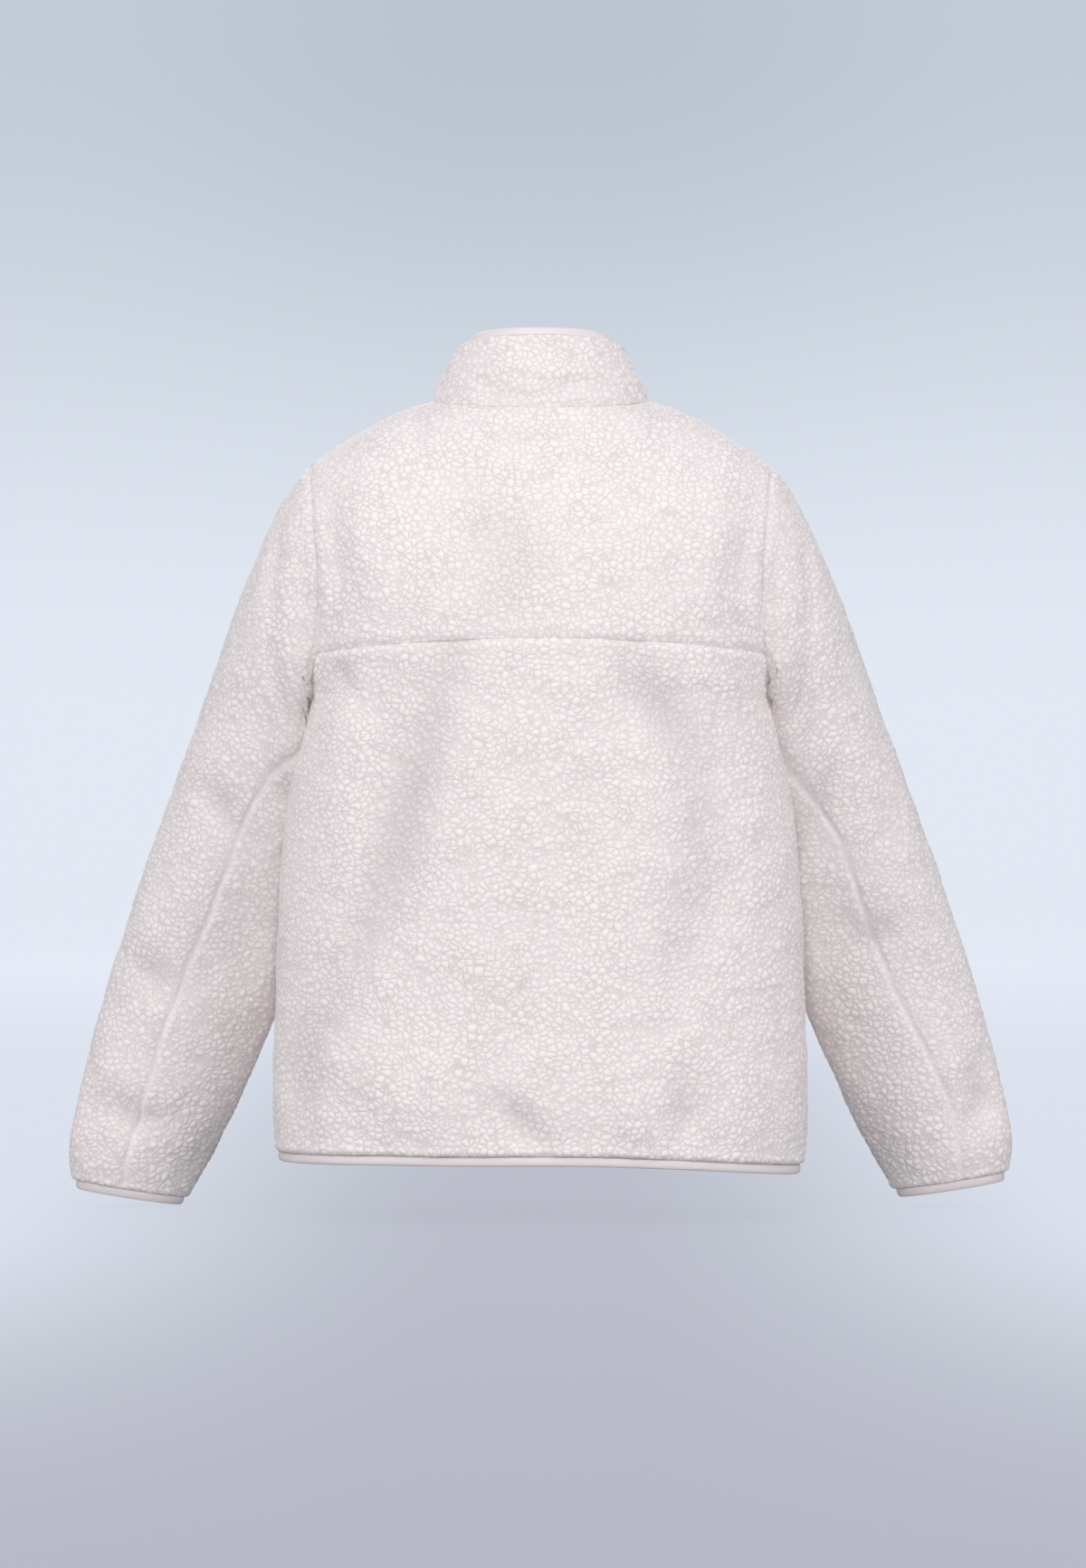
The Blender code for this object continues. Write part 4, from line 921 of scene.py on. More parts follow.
@dataclass
class FleecePiece:
    """One cut piece of fleece, as a thin shell with curly pile on its outside."""

    node: str
    flat: tuple[float, float]
    area: float
    edges: Sequence[EdgeKind]
    spacing: float = 1.85 * MM
    wall: float = 3.4 * MM
    grid: tuple[int, int] | None = None
    creases: Sequence[Crease] = ()
    seam: Sequence[tuple[float, float]] = ()
    coarse: int = 4
    rise: float = 0.0
    points: np.ndarray = field(default=None, repr=False)
    normals: np.ndarray = field(default=None, repr=False)
    painted_crease_shade: np.ndarray = field(default=None, repr=False)

    @property
    def tube(self) -> bool:
        """Whether the piece goes right round, as a sleeve does."""
        return self.grid is None

    def fine_grid(self) -> np.ndarray:
        """The solid's outer surface as an even, closely spaced grid."""
        reader = WallReader(self.node)
        rows = reader.sheet_rows(*self.grid) if self.grid else reader.tube_rows()
        rows = self.undo_dips(rows)
        knots = chord_knots(rows)
        rows = smooth_curve(rows, knots, self.even_places(knots[-1]))
        across = np.swapaxes(rows, 0, 1)
        if self.tube:
            pad = 3
            across = np.concatenate([across[-pad:], across, across[: pad + 1]])
            knots = chord_knots(across)
            first, last = knots[pad], knots[-1 - pad]
            places = first + self.even_places(last - first)[:-1]
        else:
            knots = chord_knots(across)
            places = self.even_places(knots[-1])
        return np.swapaxes(smooth_curve(across, knots, places), 0, 1)

    def even_places(self, length: float) -> np.ndarray:
        """Evenly spaced places along a length, in a whole number of coarse steps."""
        steps = self.coarse * max(1, round(length / self.spacing / self.coarse))
        return np.linspace(0.0, length, steps + 1)

    def undo_dips(self, rows: np.ndarray) -> np.ndarray:
        """Raise the solid's pressed-in edges again, before the finer edge shape is put on."""
        normals = self.grid_normals(rows)
        made = rows.copy()
        kinds = list(self.edges)
        made[0] += normals[0] * EDGE_SHAPES[kinds[0]].undo
        made[-1] += normals[-1] * EDGE_SHAPES[kinds[1]].undo
        if not self.tube:
            made[1:-1, 0] += normals[1:-1, 0] * EDGE_SHAPES[kinds[2]].undo
            made[1:-1, -1] += normals[1:-1, -1] * EDGE_SHAPES[kinds[3]].undo
        return made

    def grid_normals(self, rows: np.ndarray) -> np.ndarray:
        """Unit normals of a grid, pointing out of the jacket."""
        if self.tube:
            around = np.roll(rows, -1, axis=1) - np.roll(rows, 1, axis=1)
        else:
            around = np.gradient(rows, axis=1)
        normals = unit(np.cross(around, np.gradient(rows, axis=0)))
        if self.tube:
            out = rows - rows.mean(axis=1, keepdims=True)
        else:
            out = rows * np.array([1.0, 1.0, 0.0])
        return normals * np.sign(np.sum(normals * out))

    def edge_distances(self, points: np.ndarray) -> list[np.ndarray]:
        """Each point's distance to the first, last, left and right edge, along the grid."""
        found = []
        for axis in (0, 1)[: 1 if self.tube else 2]:
            steps = np.linalg.norm(np.diff(points, axis=axis), axis=-1)
            zero = np.zeros_like(np.take(steps, [0], axis=axis))
            along = np.concatenate([zero, np.cumsum(steps, axis=axis)], axis=axis)
            whole = np.take(along, [-1], axis=axis)
            found += [along, whole - along]
        return found

    def shape(self) -> np.ndarray:
        """Set the outer points and normals, and return how much pile stands at each point."""
        points = self.fine_grid()
        if self.rise:
            points = raised(points, points[0, :, 2].mean(), points[..., 2].max(), self.rise)
        normals = self.grid_normals(points)
        lift = np.zeros(points.shape[:2])
        pile = np.ones(points.shape[:2])
        for kind, distance in zip(self.edges, self.edge_distances(points)):
            form = EDGE_SHAPES[kind]
            lift += form.lift(distance)
            grown = np.clip(distance / (1.7 * form.width), 0.0, 1.0) ** 1.3
            pile *= 1.0 - form.bare * (1.0 - grown)
        # Painted shade along each crease, kept for the colour.
        self.painted_crease_shade = np.zeros(points.shape[:2])
        for crease in self.creases:
            share = crease.share(points, normals)
            lift += crease.height * share
            self.painted_crease_shade += crease.tone() * share
        if self.seam:
            distance = self.seam_distance(points, normals)
            lift -= 1.5 * MM * np.exp(-((distance / (3.2 * MM)) ** 2))
            pile *= 0.10 + 0.90 * np.clip((distance - 1.2 * MM) / (3.2 * MM), 0.0, 1.0)
        self.points = points + normals * lift[..., None]
        self.normals = self.grid_normals(self.points)
        return pile

    def seam_distance(self, points: np.ndarray, normals: np.ndarray) -> np.ndarray:
        """Each point's distance from the lengthwise seam, far away on the front."""
        off, _ = path_distance(self.seam, points)
        return np.where(normals[..., 1] > -0.1, off, 1.0)

    def edge(self, side: Side) -> "Path":
        """One of the piece's edges."""
        return Path(
            self.points[side.value], self.normals[side.value],
            self.tube and side in (Side.FIRST, Side.LAST),
        )

    def seam_path(self) -> "Path":
        """The lengthwise seam on the cloth's own surface."""
        flat = Path(
            np.array([(x, 0.0, z) for x, z in self.seam]),
            np.array([(0.0, 1.0, 0.0)] * len(self.seam)),
        ).spaced(4.0 * MM)
        facing = self.normals[..., 1] > -0.1
        cloth, normals = self.points[facing], self.normals[facing]
        found = [
            int(np.argmin((cloth[:, 0] - x) ** 2 + (cloth[:, 2] - z) ** 2))
            for x, _, z in flat.points
        ]
        blur = np.array([0.25, 0.5, 0.25])
        points, turned = cloth[found], normals[found]
        for _ in range(3):
            for values in (points, turned):
                for k in range(3):
                    values[1:-1, k] = np.convolve(values[:, k], blur, "valid")
        return Path(points, unit(turned))

    def build(self, relief: bpy.types.NodeTree) -> bpy.types.Object:
        """Make the shell: fine outside, plain coarser inside, and a rim between them."""
        pile = self.shape()
        rows, columns = self.points.shape[:2]
        inner = (self.points - self.normals * self.wall)[:: self.coarse, :: self.coarse]
        inner_rows, inner_columns = inner.shape[:2]
        outer_ids = np.arange(rows * columns).reshape(rows, columns)
        inner_ids = rows * columns + np.arange(inner_rows * inner_columns).reshape(
            inner_rows, inner_columns
        )
        faces = self.quads(outer_ids) + self.quads(inner_ids[::-1])
        faces += self.rim(outer_ids, inner_ids)
        mesh = bpy.data.meshes.new(f"{self.node}_cloth")
        verts = np.concatenate([self.points.reshape(-1, 3), inner.reshape(-1, 3)])
        mesh.from_pydata(verts.tolist(), [], faces)
        amount = mesh.attributes.new("pile", "FLOAT", "POINT")
        flat = np.concatenate([pile.reshape(-1), np.zeros(inner.size // 3)])
        amount.data.foreach_set("value", flat.astype(np.float32))
        # The painted crease shade, stored on the mesh for the colour.
        crease_shade_marks = mesh.attributes.new("painted_crease_shade", "FLOAT", "POINT")
        flat[: pile.size] = self.painted_crease_shade.reshape(-1)
        crease_shade_marks.data.foreach_set("value", flat.astype(np.float32))
        mesh.update()
        piece = link(f"{self.node}_cloth", mesh)
        self.face_out(piece)
        step = piece.modifiers.new("pile", "NODES")
        step.node_group = relief
        pick(piece)
        bpy.ops.object.modifier_apply(modifier="pile")
        piece.data.shade_smooth()
        return piece

    def quads(self, ids: np.ndarray) -> list[tuple]:
        """The faces of a grid of point numbers."""
        if self.tube:
            ids = np.concatenate([ids, ids[:, :1]], axis=1)
        parts = (ids[:-1, :-1], ids[:-1, 1:], ids[1:, 1:], ids[1:, :-1])
        return list(zip(*(part.reshape(-1).tolist() for part in parts)))

    def rim(self, outer: np.ndarray, inner: np.ndarray) -> list[tuple]:
        """Faces that close the wall all round, one for each coarse step."""
        loops = []
        if self.tube:
            for row, turn in ((0, 1), (-1, -1)):
                fine = outer[row].tolist() + [outer[row][0]]
                rough = inner[row].tolist() + [inner[row][0]]
                loops.append((fine, rough, turn))
        else:
            fine = [outer[0], outer[:, -1], outer[-1][::-1], outer[::-1, 0]]
            rough = [inner[0], inner[:, -1], inner[-1][::-1], inner[::-1, 0]]
            loops = [(f.tolist(), r.tolist(), 1) for f, r in zip(fine, rough)]
        faces = []
        for fine, rough, turn in loops:
            for k in range(len(rough) - 1):
                part = fine[k * self.coarse : (k + 1) * self.coarse + 1]
                face = [int(v) for v in (part[::-1] + [rough[k], rough[k + 1]])]
                faces.append(tuple(face if turn > 0 else face[::-1]))
        return faces

    def face_out(self, piece: bpy.types.Object) -> None:
        """Turn all the faces outwards."""
        work = bmesh.new()
        work.from_mesh(piece.data)
        bmesh.ops.recalc_face_normals(work, faces=work.faces[:])
        if work.calc_volume(signed=True) < 0:
            bmesh.ops.reverse_faces(work, faces=work.faces[:])
        work.to_mesh(piece.data)
        work.free()

    def place(self, relief: bpy.types.NodeTree, material: bpy.types.Material) -> bpy.types.Object:
        """Build the piece, dress it and say what it replaces."""
        piece = self.build(relief)
        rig.replaces(piece, self.node)
        dress(piece, material, "fleece", "jacket")
        return piece


# ---------------------------------------------------------------- seams and stitches


@dataclass(frozen=True)
class Path:
    """A line on the cloth: its points, the cloth's normals there, and whether it closes."""

    points: np.ndarray
    normals: np.ndarray
    closed: bool = False

    def spaced(self, step: float) -> "Path":
        """The same line with evenly spaced points, about a step apart."""
        points, normals = self.points, self.normals
        if self.closed:
            points = np.concatenate([points, points[:1]])
            normals = np.concatenate([normals, normals[:1]])
        along = np.concatenate([[0.0], np.cumsum(np.linalg.norm(np.diff(points, axis=0), axis=1))])
        count = max(4, round(along[-1] / step))
        places = np.linspace(0.0, along[-1], count + 1)[: count if self.closed else count + 1]
        made = [np.interp(places, along, points[:, k]) for k in range(3)]
        turned = [np.interp(places, along, normals[:, k]) for k in range(3)]
        return Path(np.stack(made, axis=1), unit(np.stack(turned, axis=1)), self.closed)

    def lifted(self, height: float, aside: float = 0.0) -> "Path":
        """The line moved along the normals and sideways over the cloth."""
        side = unit(np.cross(self.tangents(), self.normals))
        points = self.points + self.normals * height + side * aside
        return Path(points, self.normals, self.closed)

    def tangents(self) -> np.ndarray:
        """The line's direction at each point."""
        if self.closed:
            return unit(np.roll(self.points, -1, axis=0) - np.roll(self.points, 1, axis=0))
        return unit(np.gradient(self.points, axis=0))

    def part(self, keep: np.ndarray) -> "Path":
        """Only the points that are marked to keep, as an open line."""
        return Path(self.points[keep], self.normals[keep])


@dataclass
class SeamRoll:
    """The smooth, narrow roll of turned-in cloth at the bottom of a seam."""

    name: str
    path: Path
    radius: float = 1.5 * MM
    step: float = 4.0 * MM

    def place(self, material: bpy.types.Material) -> bpy.types.Object:
        """Run a round section along the seam."""
        path = self.path.spaced(self.step)
        bpy.ops.object.select_all(action="DESELECT")
        bpy.ops.curve.primitive_nurbs_path_add()
        roll = bpy.context.object
        curve = roll.data
        curve.splines.remove(curve.splines[0])
        spline = curve.splines.new("POLY")
        spline.points.add(len(path.points) - 1)
        for point, at in zip(spline.points, path.points):
            point.co = (*at, 1.0)
        spline.use_cyclic_u = path.closed
        curve.dimensions = "3D"
        curve.bevel_depth = self.radius
        curve.bevel_resolution = 1
        curve.use_fill_caps = not path.closed
        bpy.ops.object.convert(target="MESH")
        roll = bpy.context.object
        roll.name = roll.data.name = self.name
        roll.data.shade_smooth()
        dress(roll, material, "fleece", "jacket")
        return roll


@dataclass
class StitchRow:
    """A row of sewing stitches: one small thread loop, copied along a line."""

    name: str
    path: Path
    pitch: float = 3.2 * MM
    size: tuple[float, float, float] = (2.3 * MM, 0.5 * MM, 0.45 * MM)
    across: bool = False

    def thread_loop(self) -> bpy.types.Object:
        """Model one stitch: a rounded thread that dives at both ends."""
        bpy.ops.object.select_all(action="DESELECT")
        bpy.ops.mesh.primitive_cylinder_add(vertices=6, radius=0.5, depth=1.0)
        loop = bpy.context.object
        bpy.ops.transform.rotate(
            value=math.pi / 2, orient_axis="Y", center_override=(0.0, 0.0, 0.0)
        )
        bpy.ops.transform.resize(value=self.size)
        bpy.ops.object.transform_apply(location=True, rotation=True, scale=True)
        bpy.ops.object.mode_set(mode="EDIT")
        bpy.ops.mesh.select_all(action="SELECT")
        work = bmesh.from_edit_mesh(loop.data)
        for face in work.faces:
            face.select_set(abs(face.normal.x) > 0.9)
        bpy.ops.mesh.extrude_region_move(TRANSFORM_OT_translate={"value": (0.0, 0.0, 0.0)})
        bpy.ops.mesh.select_all(action="DESELECT")
        work = bmesh.from_edit_mesh(loop.data)
        for face in work.faces:
            if abs(face.normal.x) > 0.9 and len(face.verts) == 6:
                middle = face.calc_center_median()
                push = math.copysign(self.size[0] * 0.22, middle.x)
                for vert in face.verts:
                    vert.co.x += push
                    vert.co.y *= 0.45
                    vert.co.z = vert.co.z * 0.45 - self.size[2] * 0.7
        bmesh.update_edit_mesh(loop.data)
        bpy.ops.object.mode_set(mode="OBJECT")
        return loop

    def place(self, material: bpy.types.Material) -> bpy.types.Object:
        """Copy the stitch along the line as one mesh."""
        verts, faces = take_mesh(self.thread_loop())
        path = self.path.spaced(self.pitch)
        ahead = path.tangents()
        side = unit(np.cross(path.normals, ahead))
        if self.across:
            ahead, side = side, -ahead
        upward = unit(np.cross(ahead, side))
        frames = np.stack([ahead, side, upward], axis=1)
        placed = np.einsum("vk,skj->svj", verts, frames) + path.points[:, None, :]
        count = len(verts)
        whole = [
            tuple(v + k * count for v in face)
            for k in range(len(path.points)) for face in faces
        ]
        row = mesh_object(self.name, placed, whole)
        row.data.shade_smooth()
        dress(row, material, "fleece", "jacket")
        return row


# ---------------------------------------------------------------- strips


@dataclass
class Strip:
    """A narrow woven strip, such as a binding or a zip tape, on its solid's form."""

    node: str
    slot: str
    levels: int = 2
    rise: float = 0.0
    swell: float = 0.2 * MM

    def place(self, material: bpy.types.Material) -> bpy.types.Object:
        """Copy the solid, smooth it and mark how far along it each point is."""
        work = merged_copy(self.node)
        bmesh.ops.join_triangles(
            work, faces=work.faces[:], angle_face_threshold=math.pi,
            angle_shape_threshold=math.pi, topology_influence=2.0,
        )
        mesh = bpy.data.meshes.new(f"{self.node}_strip")
        work.to_mesh(mesh)
        work.free()
        piece = link(f"{self.node}_strip", mesh)
        step = piece.modifiers.new("smooth", "SUBSURF")
        step.levels = step.render_levels = self.levels
        pick(piece)
        bpy.ops.object.modifier_apply(modifier="smooth")
        points = np.array(
            [tuple(vert.co + vert.normal * self.swell) for vert in piece.data.vertices]
        )
        if self.rise:
            points = raised(points, points[:, 2].min() - 1.0, points[:, 2].max(), self.rise)
        piece.data.vertices.foreach_set("co", points.reshape(-1))
        self.mark_run(piece)
        piece.data.shade_smooth()
        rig.replaces(piece, self.node)
        dress(piece, material, self.slot, "jacket")
        return piece

    def mark_run(self, piece: bpy.types.Object) -> None:
        """Store the place along the strip: its turn round the body, or its height on a tape."""
        count = len(piece.data.vertices)
        points = np.empty(count * 3)
        piece.data.vertices.foreach_get("co", points)
        points = points.reshape(-1, 3)
        size = np.ptp(points, axis=0)
        if size[2] > 3 * max(size[0], size[1]):
            run = points[:, 2]
        else:
            middle = points.mean(axis=0)
            turn = np.arctan2(points[:, 1] - middle[1], points[:, 0] - middle[0])
            run = turn * (size[0] + size[1]) / 4
        marks = piece.data.attributes.new("run", "FLOAT", "POINT")
        marks.data.foreach_set("value", run.astype(np.float32))


# ---------------------------------------------------------------- zip


@dataclass
class ZipFront:
    """The front zip: moulded teeth on a core, woven tapes, and metal box, slider and pull."""

    pitch: float = 1.6 * MM
    tooth: tuple[float, float, float] = (2.7 * MM, 1.15 * MM, 2.7 * MM)
    reach: float = 0.95 * MM
    corner: float = 0.3 * MM
    core: float = 0.9 * MM

    def line(self) -> Path:
        """The middle of the chain, from the middles of the CAD chain's sections."""
        work = merged_copy("zip_chain")
        rings = np.array(sorted((tuple(vert.co) for vert in work.verts), key=lambda co: co[2]))
        work.free()
        rings = rings.reshape(-1, 4, 3)
        middles = rings.mean(axis=1)
        order = rings[:, :, 1].argsort(axis=1)
        fronts = np.take_along_axis(rings, order[:, :2, None], axis=1).mean(axis=1)
        return Path(middles, unit(fronts - middles))

    def one_tooth(self) -> bpy.types.Object:
        """Model a tooth: a bevelled block with a narrower neck towards its tape."""
        bpy.ops.object.select_all(action="DESELECT")
        bpy.ops.mesh.primitive_cube_add(size=1.0)
        tooth = bpy.context.object
        tooth.scale = self.tooth
        bpy.ops.object.transform_apply(location=True, rotation=True, scale=True)
        for vert in tooth.data.vertices:
            if vert.co.x > 0:
                vert.co.y *= 0.72
                vert.co.z *= 0.86
        step = tooth.modifiers.new("corners", "BEVEL")
        step.width = self.corner
        step.segments = 1
        pick(tooth)
        bpy.ops.object.modifier_apply(modifier="corners")
        return tooth

    def teeth(self, material: bpy.types.Material) -> bpy.types.Object:
        """Copy the tooth up the chain, left and right in turn."""
        verts, faces = take_mesh(self.one_tooth())
        path = self.line().spaced(self.pitch)
        ahead = path.tangents()
        side = unit(np.cross(ahead, path.normals))
        placed, whole = [], []
        for k in range(1, len(path.points) - 1):
            hand = 1 if k % 2 else -1
            frames = np.stack([side[k] * hand, ahead[k], path.normals[k]])
            turn = verts + np.array([self.reach, 0.0, 0.0])
            base = len(placed) * len(verts)
            placed.append(turn @ frames + path.points[k])
            flip = np.linalg.det(frames) < 0
            whole += [
                tuple(base + v for v in (face[::-1] if flip else face)) for face in faces
            ]
        row = mesh_object("zip_teeth", np.concatenate(placed), whole)
        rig.replaces(row, "zip_chain")
        dress(row, material, "zip_chain", "jacket")
        return row

    def place(self) -> list[bpy.types.Object]:
        """Build the zip and return its two tapes."""
        teeth = HardFinish("moulded_teeth", (0.74, 0.71, 0.71, 1.0), 0.0, 0.4).make()
        self.teeth(teeth)
        core = SeamRoll("zip_core", self.line(), radius=self.core, step=6.0 * MM)
        core.place(teeth)
        tape = WovenFinish("zip_tape_weave", (0.74, 0.70, 0.71, 1.0), 4200.0).make()
        tapes = [
            Strip(node, "zip_tape", levels=1).place(tape)
            for node in ("zip_tape_left", "zip_tape_right")
        ]
        metal = HardFinish("satin_metal", (0.46, 0.455, 0.46, 1.0), 1.0, 0.38).make()
        for node in ("zip_box", "zip_slider", "zip_pull"):
            for slot in frame["nodes"][node].material_slots:
                slot.material = metal
        return tapes


# ---------------------------------------------------------------- studio


@dataclass(frozen=True)
class SoftLight:
    """A square area light that looks at the jacket."""

    name: str
    place: tuple[float, float, float]
    size: float
    power: float
    colour: tuple[float, float, float] = (1.0, 1.0, 1.0)

    def make(self, target: Vector) -> None:
        """Add the light."""
        data = bpy.data.lights.new(self.name, "AREA")
        data.size = self.size
        data.energy = self.power
        data.color = self.colour
        lamp = bpy.data.objects.new(self.name, data)
        bpy.context.scene.collection.objects.link(lamp)
        lamp.location = self.place
        lamp.rotation_euler = (target - Vector(self.place)).to_track_quat("-Z", "Y").to_euler()


@dataclass
class Studio:
    """The camera at the photo's angle, the pale sweep and the lights."""

    camera_place: tuple[float, float, float] = (-0.0025, 5.0, -0.345)
    lens: float = 126.7
    floor_z: float = -0.7345
    sweep_radius: float = 13.0
    cove: float = 2.0
    wall_top: float = 8.0
    world: Colour = (0.93, 0.93, 0.98, 1.0)
    world_strength: float = 0.72
    lights: Sequence[SoftLight] = (
        SoftLight("key", (0.1, 5.4, 0.2), 1.5, 98.0, (1.0, 0.985, 0.98)),
        SoftLight("side_left", (3.4, 2.6, -0.3), 1.8, 72.0, (1.0, 0.985, 0.98)),
        SoftLight("side_right", (-3.4, 2.6, -0.3), 1.8, 74.0, (1.0, 0.985, 0.98)),
        SoftLight("top", (0.1, 1.5, 3.2), 2.0, 22.0),
        SoftLight("front", (0.6, -7.0, 2.6), 3.4, 250.0, (1.0, 0.985, 0.98)),
    )

    def build(self) -> None:
        """Put the camera, the sweep, the world light and the lights in place."""
        self.add_camera()
        self.add_sweep()
        world = bpy.data.worlds.new("studio_world")
        world.use_nodes = True
        back = world.node_tree.nodes["Background"]
        back.inputs["Color"].default_value = self.world
        back.inputs["Strength"].default_value = self.world_strength
        bpy.context.scene.world = world
        for light in self.lights:
            light.make(Vector((0.0, 0.0, -0.35)))
        bpy.context.scene.view_settings.view_transform = "Standard"

    def add_camera(self) -> None:
        """A long lens straight behind the back."""
        data = bpy.data.cameras.new("camera")
        data.lens = self.lens
        data.sensor_width = 36.0
        camera = bpy.data.objects.new("camera", data)
        bpy.context.scene.collection.objects.link(camera)
        camera.location = self.camera_place
        camera.rotation_euler = (math.radians(90.0), 0.0, math.radians(180.0))
        bpy.context.scene.camera = camera

    def add_sweep(self) -> None:
        """A round floor that curves up into a wall on all sides."""
        bpy.ops.object.select_all(action="DESELECT")
        bpy.ops.mesh.primitive_circle_add(
            vertices=96, radius=self.sweep_radius, fill_type="NGON",
            location=(0.0, 0.0, self.floor_z),
        )
        sweep = bpy.context.object
        sweep.name = "sweep"
        bpy.ops.object.mode_set(mode="EDIT")
        bpy.ops.mesh.select_all(action="SELECT")
        steps = 10
        for k in range(1, steps + 1):
            turn = k / steps * math.pi / 2
            before = (k - 1) / steps * math.pi / 2
            bpy.ops.mesh.extrude_region_move(
                TRANSFORM_OT_translate={
                    "value": (0.0, 0.0, self.cove * (math.cos(before) - math.cos(turn)))
                }
            )
            now = self.sweep_radius + self.cove * math.sin(turn)
            last = self.sweep_radius + self.cove * math.sin(before)
            bpy.ops.transform.resize(value=(now / last, now / last, 1.0))
        bpy.ops.mesh.extrude_region_move(
            TRANSFORM_OT_translate={"value": (0.0, 0.0, self.wall_top)}
        )
        bpy.ops.mesh.delete(type="ONLY_FACE")
        bpy.ops.object.mode_set(mode="OBJECT")
        bpy.ops.object.transform_apply(location=True, rotation=True, scale=True)
        sweep.data.shade_smooth()
        sweep.data.materials.append(BackdropFinish().make())
        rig.stage(sweep)


# ---------------------------------------------------------------- the jacket


def metres(path: Sequence) -> tuple[tuple[float, float], ...]:
    """A line of places across and up, from millimetres to metres."""
    return tuple((x * MM, z * MM) for x, z in path)


def creases(side: int, *rows: tuple) -> tuple[Crease, ...]:
    """Creases on one side of the jacket.

    Args:
        side: 1 on the back, -1 on the front.
        rows: each crease's path, width and height in millimetres and, where its depth
        doesn't give it, how much painted shade darkens the cloth.

    Returns:
        The creases.
    """
    return tuple(
        Crease(side, metres(path), width * MM, height * MM, *shade)
        for path, width, height, *shade in rows
    )


SEAM_LEFT = metres((
    (219, -303), (246, -336), (273, -391), (299, -462), (325, -519), (334, -545), (347, -579),
    (357, -615), (368, -650), (379, -690), (383, -712),
))
SEAM_RIGHT = metres((
    (-218, -291), (-230, -325), (-246, -358), (-273, -398), (-290, -450), (-310, -502),
    (-323, -532), (-343, -571), (-359, -602), (-374, -634), (-382, -665), (-387, -705),
))
# Each trough darkens the cloth with painted shade by its depth.
BACK_CREASES = creases(
    1,
    (((75, -222), (94, -275), (114, -340), (134, -412), (158, -484), (190, -556)), 23, -9.0),
    (((-80, -240), (-113, -284), (-147, -325)), 19, -8.5),
    (((-147, -325), (-150, -420), (-120, -520)), 26, -4.5),
    (((30, -628), (12, -650), (-2, -668)), 12, -6.0),
    (((92, -590), (88, -640), (86, -668)), 17, 4.0),
    (((-70, -590), (-82, -640), (-90, -668)), 17, 4.0),
    (((205, -560), (214, -610), (205, -655)), 16, -5.5),
    (((-130, -600), (-128, -640), (-120, -668)), 14, -5.0),
    (((184, -236), (176, -250), (166, -262)), 9, -4.0),
    (((-126, -236), (-170, -262), (-190, -300)), 18, 4.0),
    (((150, -240), (175, -290), (190, -340)), 22, 4.0),
)
YOKE_CREASES = creases(
    1,
    (((60, -30), (20, -36), (-30, -33)), 7, -3.0),
    (((150, -75), (160, -120), (140, -170)), 20, 3.5),
    (((-130, -75), (-160, -120), (-150, -180)), 20, 3.5),
    (((60, -90), (20, -150), (40, -205)), 30, -4.0),
)
COLLAR_CREASES = creases(
    1,
    (((48, 6), (10, 1), (-30, 6)), 6, -3.2),
    (((60, 22), (20, 28), (-20, 22)), 7, 2.0),
    (((-10, 12), (-45, 16), (-70, 8)), 5, -2.4),
)
FRONT_CREASES = creases(
    -1,
    (((60, -150), (110, -230), (130, -330)), 20, -7.5),
    (((170, -420), (120, -520), (110, -610)), 22, -7.0),
    (((60, -560), (70, -620), (60, -665)), 15, -5.0),
    (((-70, -130), (-100, -220), (-150, -290)), 19, -8.0),
    (((-120, -360), (-150, -470), (-130, -580)), 24, -6.5),
    (((-50, -590), (-44, -630), (-60, -668)), 13, -5.0),
)
COLLAR_RISE = 5.5 * MM
# The sleeves' strips beside the body's edge, troughs and ridges alike, carry a given painted shade where sleeve and
# body meet; the other troughs get painted shade by their depth.
SLEEVE_CREASES = creases(
    1,
    (((205, -120), (207, -200), (214, -270)), 13, -2.0, 0.12),
    (((-200, -130), (-206, -200), (-214, -270)), 13, -2.0, 0.12),
    (((210, -205), (220, -270), (229, -335)), 15, 13.0, 0.08),
    (((-210, -205), (-220, -270), (-229, -335)), 15, 13.0, 0.08),
    (((216, -240), (231, -340), (240, -420), (246, -560)), 17, 11.0, 0.16),
    (((-216, -240), (-231, -340), (-240, -420), (-248, -560)), 17, 11.0, 0.16),
    (((300, -350), (285, -375), (270, -385)), 14, -4.2),
    (((372, -500), (350, -525), (330, -530)), 16, -4.0),
    (((392, -630), (372, -652), (345, -655)), 13, -4.2),
    (((-262, -330), (-250, -372), (-225, -400)), 14, -4.2),
    (((-330, -470), (-300, -485), (-275, -480)), 16, -4.0),
    (((-395, -600), (-405, -640), (-385, -665)), 13, -4.5),
) + creases(
    -1,
    (((300, -330), (275, -370), (245, -380)), 15, -4.2),
    (((365, -540), (340, -560), (310, -555)), 15, -4.0),
    (((-290, -370), (-270, -400), (-240, -405)), 15, -4.2),
    (((-385, -600), (-360, -625), (-330, -620)), 14, -4.0),
)


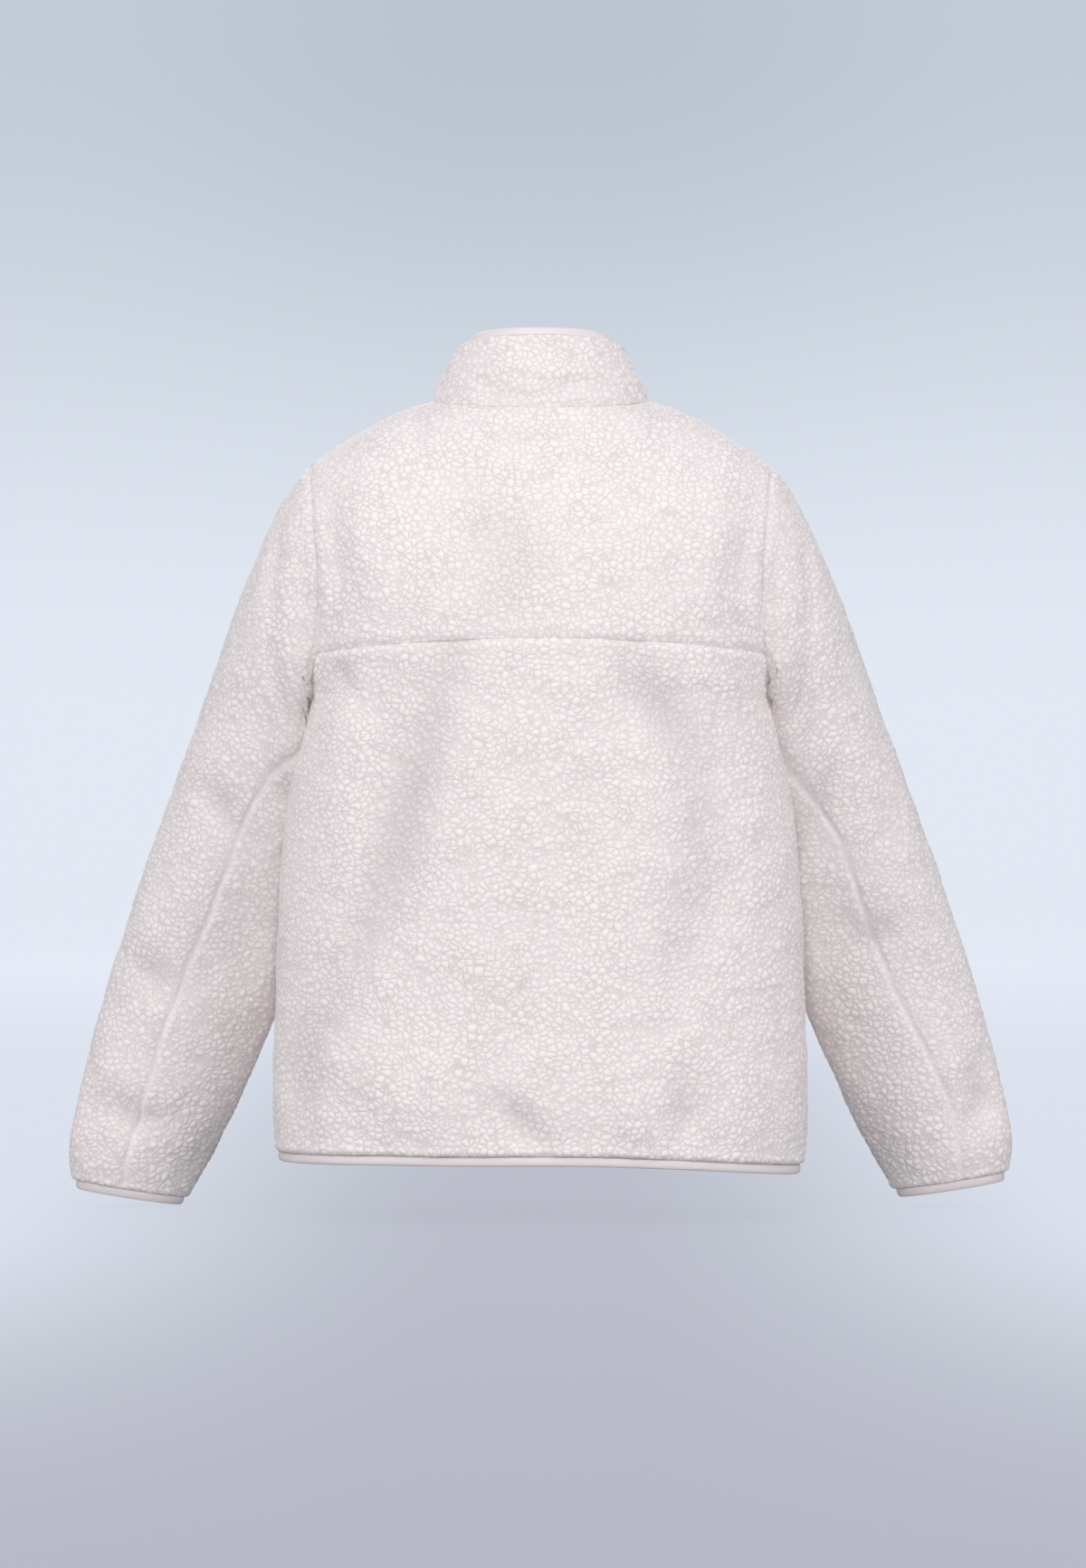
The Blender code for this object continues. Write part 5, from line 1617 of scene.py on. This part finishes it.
@dataclass
class Jacket:
    """The whole jacket: its fleece pieces, their seams, the elastic bindings and the zip."""

    pile: Pile = field(default_factory=Pile)
    cloth: dict[str, FleecePiece] = field(default_factory=dict)
    extras: dict[str, list] = field(default_factory=dict)

    def cut(self) -> list[FleecePiece]:
        """The cut pieces, with their flat sizes and how each edge ends."""
        groove, closed, bound = EdgeKind.GROOVE, EdgeKind.CLOSED, EdgeKind.BOUND
        panel = (bound, closed, closed, closed)
        yoke = (closed, closed, closed, closed)
        return [
            FleecePiece(
                "back_lower", (0.595, 0.497), 0.262, panel, grid=(20, 25), creases=BACK_CREASES
            ),
            FleecePiece(
                "back_yoke", (0.521, 0.276), 0.103, yoke, grid=(10, 25),
                creases=YOKE_CREASES,
            ),
            FleecePiece(
                "front_left", (0.303, 0.745), 0.174, panel, grid=(29, 13), creases=FRONT_CREASES
            ),
            FleecePiece(
                "front_right", (0.303, 0.748), 0.176, panel, grid=(29, 13),
                creases=FRONT_CREASES,
            ),
            FleecePiece(
                "sleeve_left", (0.567, 0.703), 0.239, (closed, bound), seam=SEAM_LEFT,
                creases=SLEEVE_CREASES,
            ),
            FleecePiece(
                "sleeve_right", (0.567, 0.697), 0.237, (closed, bound), seam=SEAM_RIGHT,
                creases=SLEEVE_CREASES,
            ),
            FleecePiece(
                "collar", (0.577, 0.086), 0.032, (closed, bound, groove, groove), grid=(6, 21),
                creases=COLLAR_CREASES, rise=COLLAR_RISE,
            ),
        ]

    def build(self) -> None:
        relief = self.pile.relief()
        fleece = FleeceFinish().make(self.pile)
        made = {}
        for piece in self.cut():
            self.cloth[piece.node] = piece
            self.extras[piece.node] = []
            made[piece.node] = piece.place(relief, fleece)
        self.bind()
        self.sew()
        tapes = ZipFront().place()
        for node, tape in zip(("front_left", "front_right"), tapes):
            self.extras[node].append(tape)
        for node, piece in self.cloth.items():
            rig.sheet(
                made[node], flat=piece.flat, held="hung", area=piece.area,
                with_pieces=self.extras[node],
            )

    def bind(self) -> None:
        """Put the elastic bindings on the hem, the cuffs and the collar."""
        elastic = WovenFinish(
            "elastic_band", (0.80, 0.735, 0.735, 1.0), 3600.0, rib_depth=0.05 * MM
        ).make()
        for node, cloth in (
            ("collar_binding", "collar"),
            ("hem_binding", "back_lower"),
            ("cuff_binding_left", "sleeve_left"),
            ("cuff_binding_right", "sleeve_right"),
        ):
            rise = COLLAR_RISE if cloth == "collar" else 0.0
            strip = Strip(node, "elastic_binding", rise=rise, swell=0.55 * MM)
            self.extras[cloth].append(strip.place(elastic))

    def sew(self) -> None:
        """Lay the seams' rolls of turned cloth, with their stitching."""
        roll_finish = RollFinish().make()
        thread = ThreadFinish().make()
        back, yoke, collar = (self.cloth[n] for n in ("back_lower", "back_yoke", "collar"))
        seams = {"yoke_seam": ("back_lower", back.edge(Side.LAST))}
        seams["neck_seam"] = ("collar", collar.edge(Side.FIRST))
        neck = float(np.abs(collar.points[0, :, 0]).max())
        across = yoke.edge(Side.LAST)
        for hand, end in ((1, "left"), (-1, "right")):
            sleeve = self.cloth[f"sleeve_{end}"]
            seams[f"armhole_seam_{end}"] = (sleeve.node, sleeve.edge(Side.FIRST))
            seams[f"shoulder_seam_{end}"] = (
                "back_yoke", across.part(across.points[:, 0] * hand > neck)
            )
            side = back.edge(Side.RIGHT if back.points[0, -1, 0] * hand > 0 else Side.LEFT)
            underarm = float(sleeve.points[0, :, 2].min())
            seams[f"side_seam_{end}"] = ("back_lower", side.part(side.points[:, 2] < underarm))
            line = sleeve.seam_path()
            for aside, row in ((-1.1 * MM, "upper"), (1.1 * MM, "lower")):
                stitches = StitchRow(
                    f"sleeve_stitches_{end}_{row}", line.lifted(0.25 * MM, aside), pitch=2.6 * MM
                )
                self.extras[sleeve.node].append(stitches.place(thread))
            ladder = StitchRow(
                f"sleeve_ladder_{end}", line.lifted(0.2 * MM), pitch=1.7 * MM, across=True,
                size=(2.0 * MM, 0.35 * MM, 0.3 * MM),
            )
            self.extras[sleeve.node].append(ladder.place(thread))
        for name, (node, path) in seams.items():
            armhole = name.startswith("armhole")
            radius, depth = (2.6 * MM, 1.4 * MM) if armhole else (1.3 * MM, 0.9 * MM)
            roll = SeamRoll(name, path.lifted(-depth), radius=radius).place(roll_finish)
            self.extras[node].append(roll)
            if not armhole:
                row = StitchRow(f"{name}_stitches", path.lifted(0.75 * MM))
                self.extras[node].append(row.place(thread))


def main() -> None:
    """Build the studio and the jacket, and report each piece."""
    logging.basicConfig(level=logging.INFO, format="%(name)s: %(message)s")
    Studio().build()
    Jacket().build()


if __name__ == "__main__":
    main()
    SIZE_FILE.write_text(
        json.dumps({"cad": [list(c) for c in CAD_BOX], "visual": [list(c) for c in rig.bounds()]})
    )
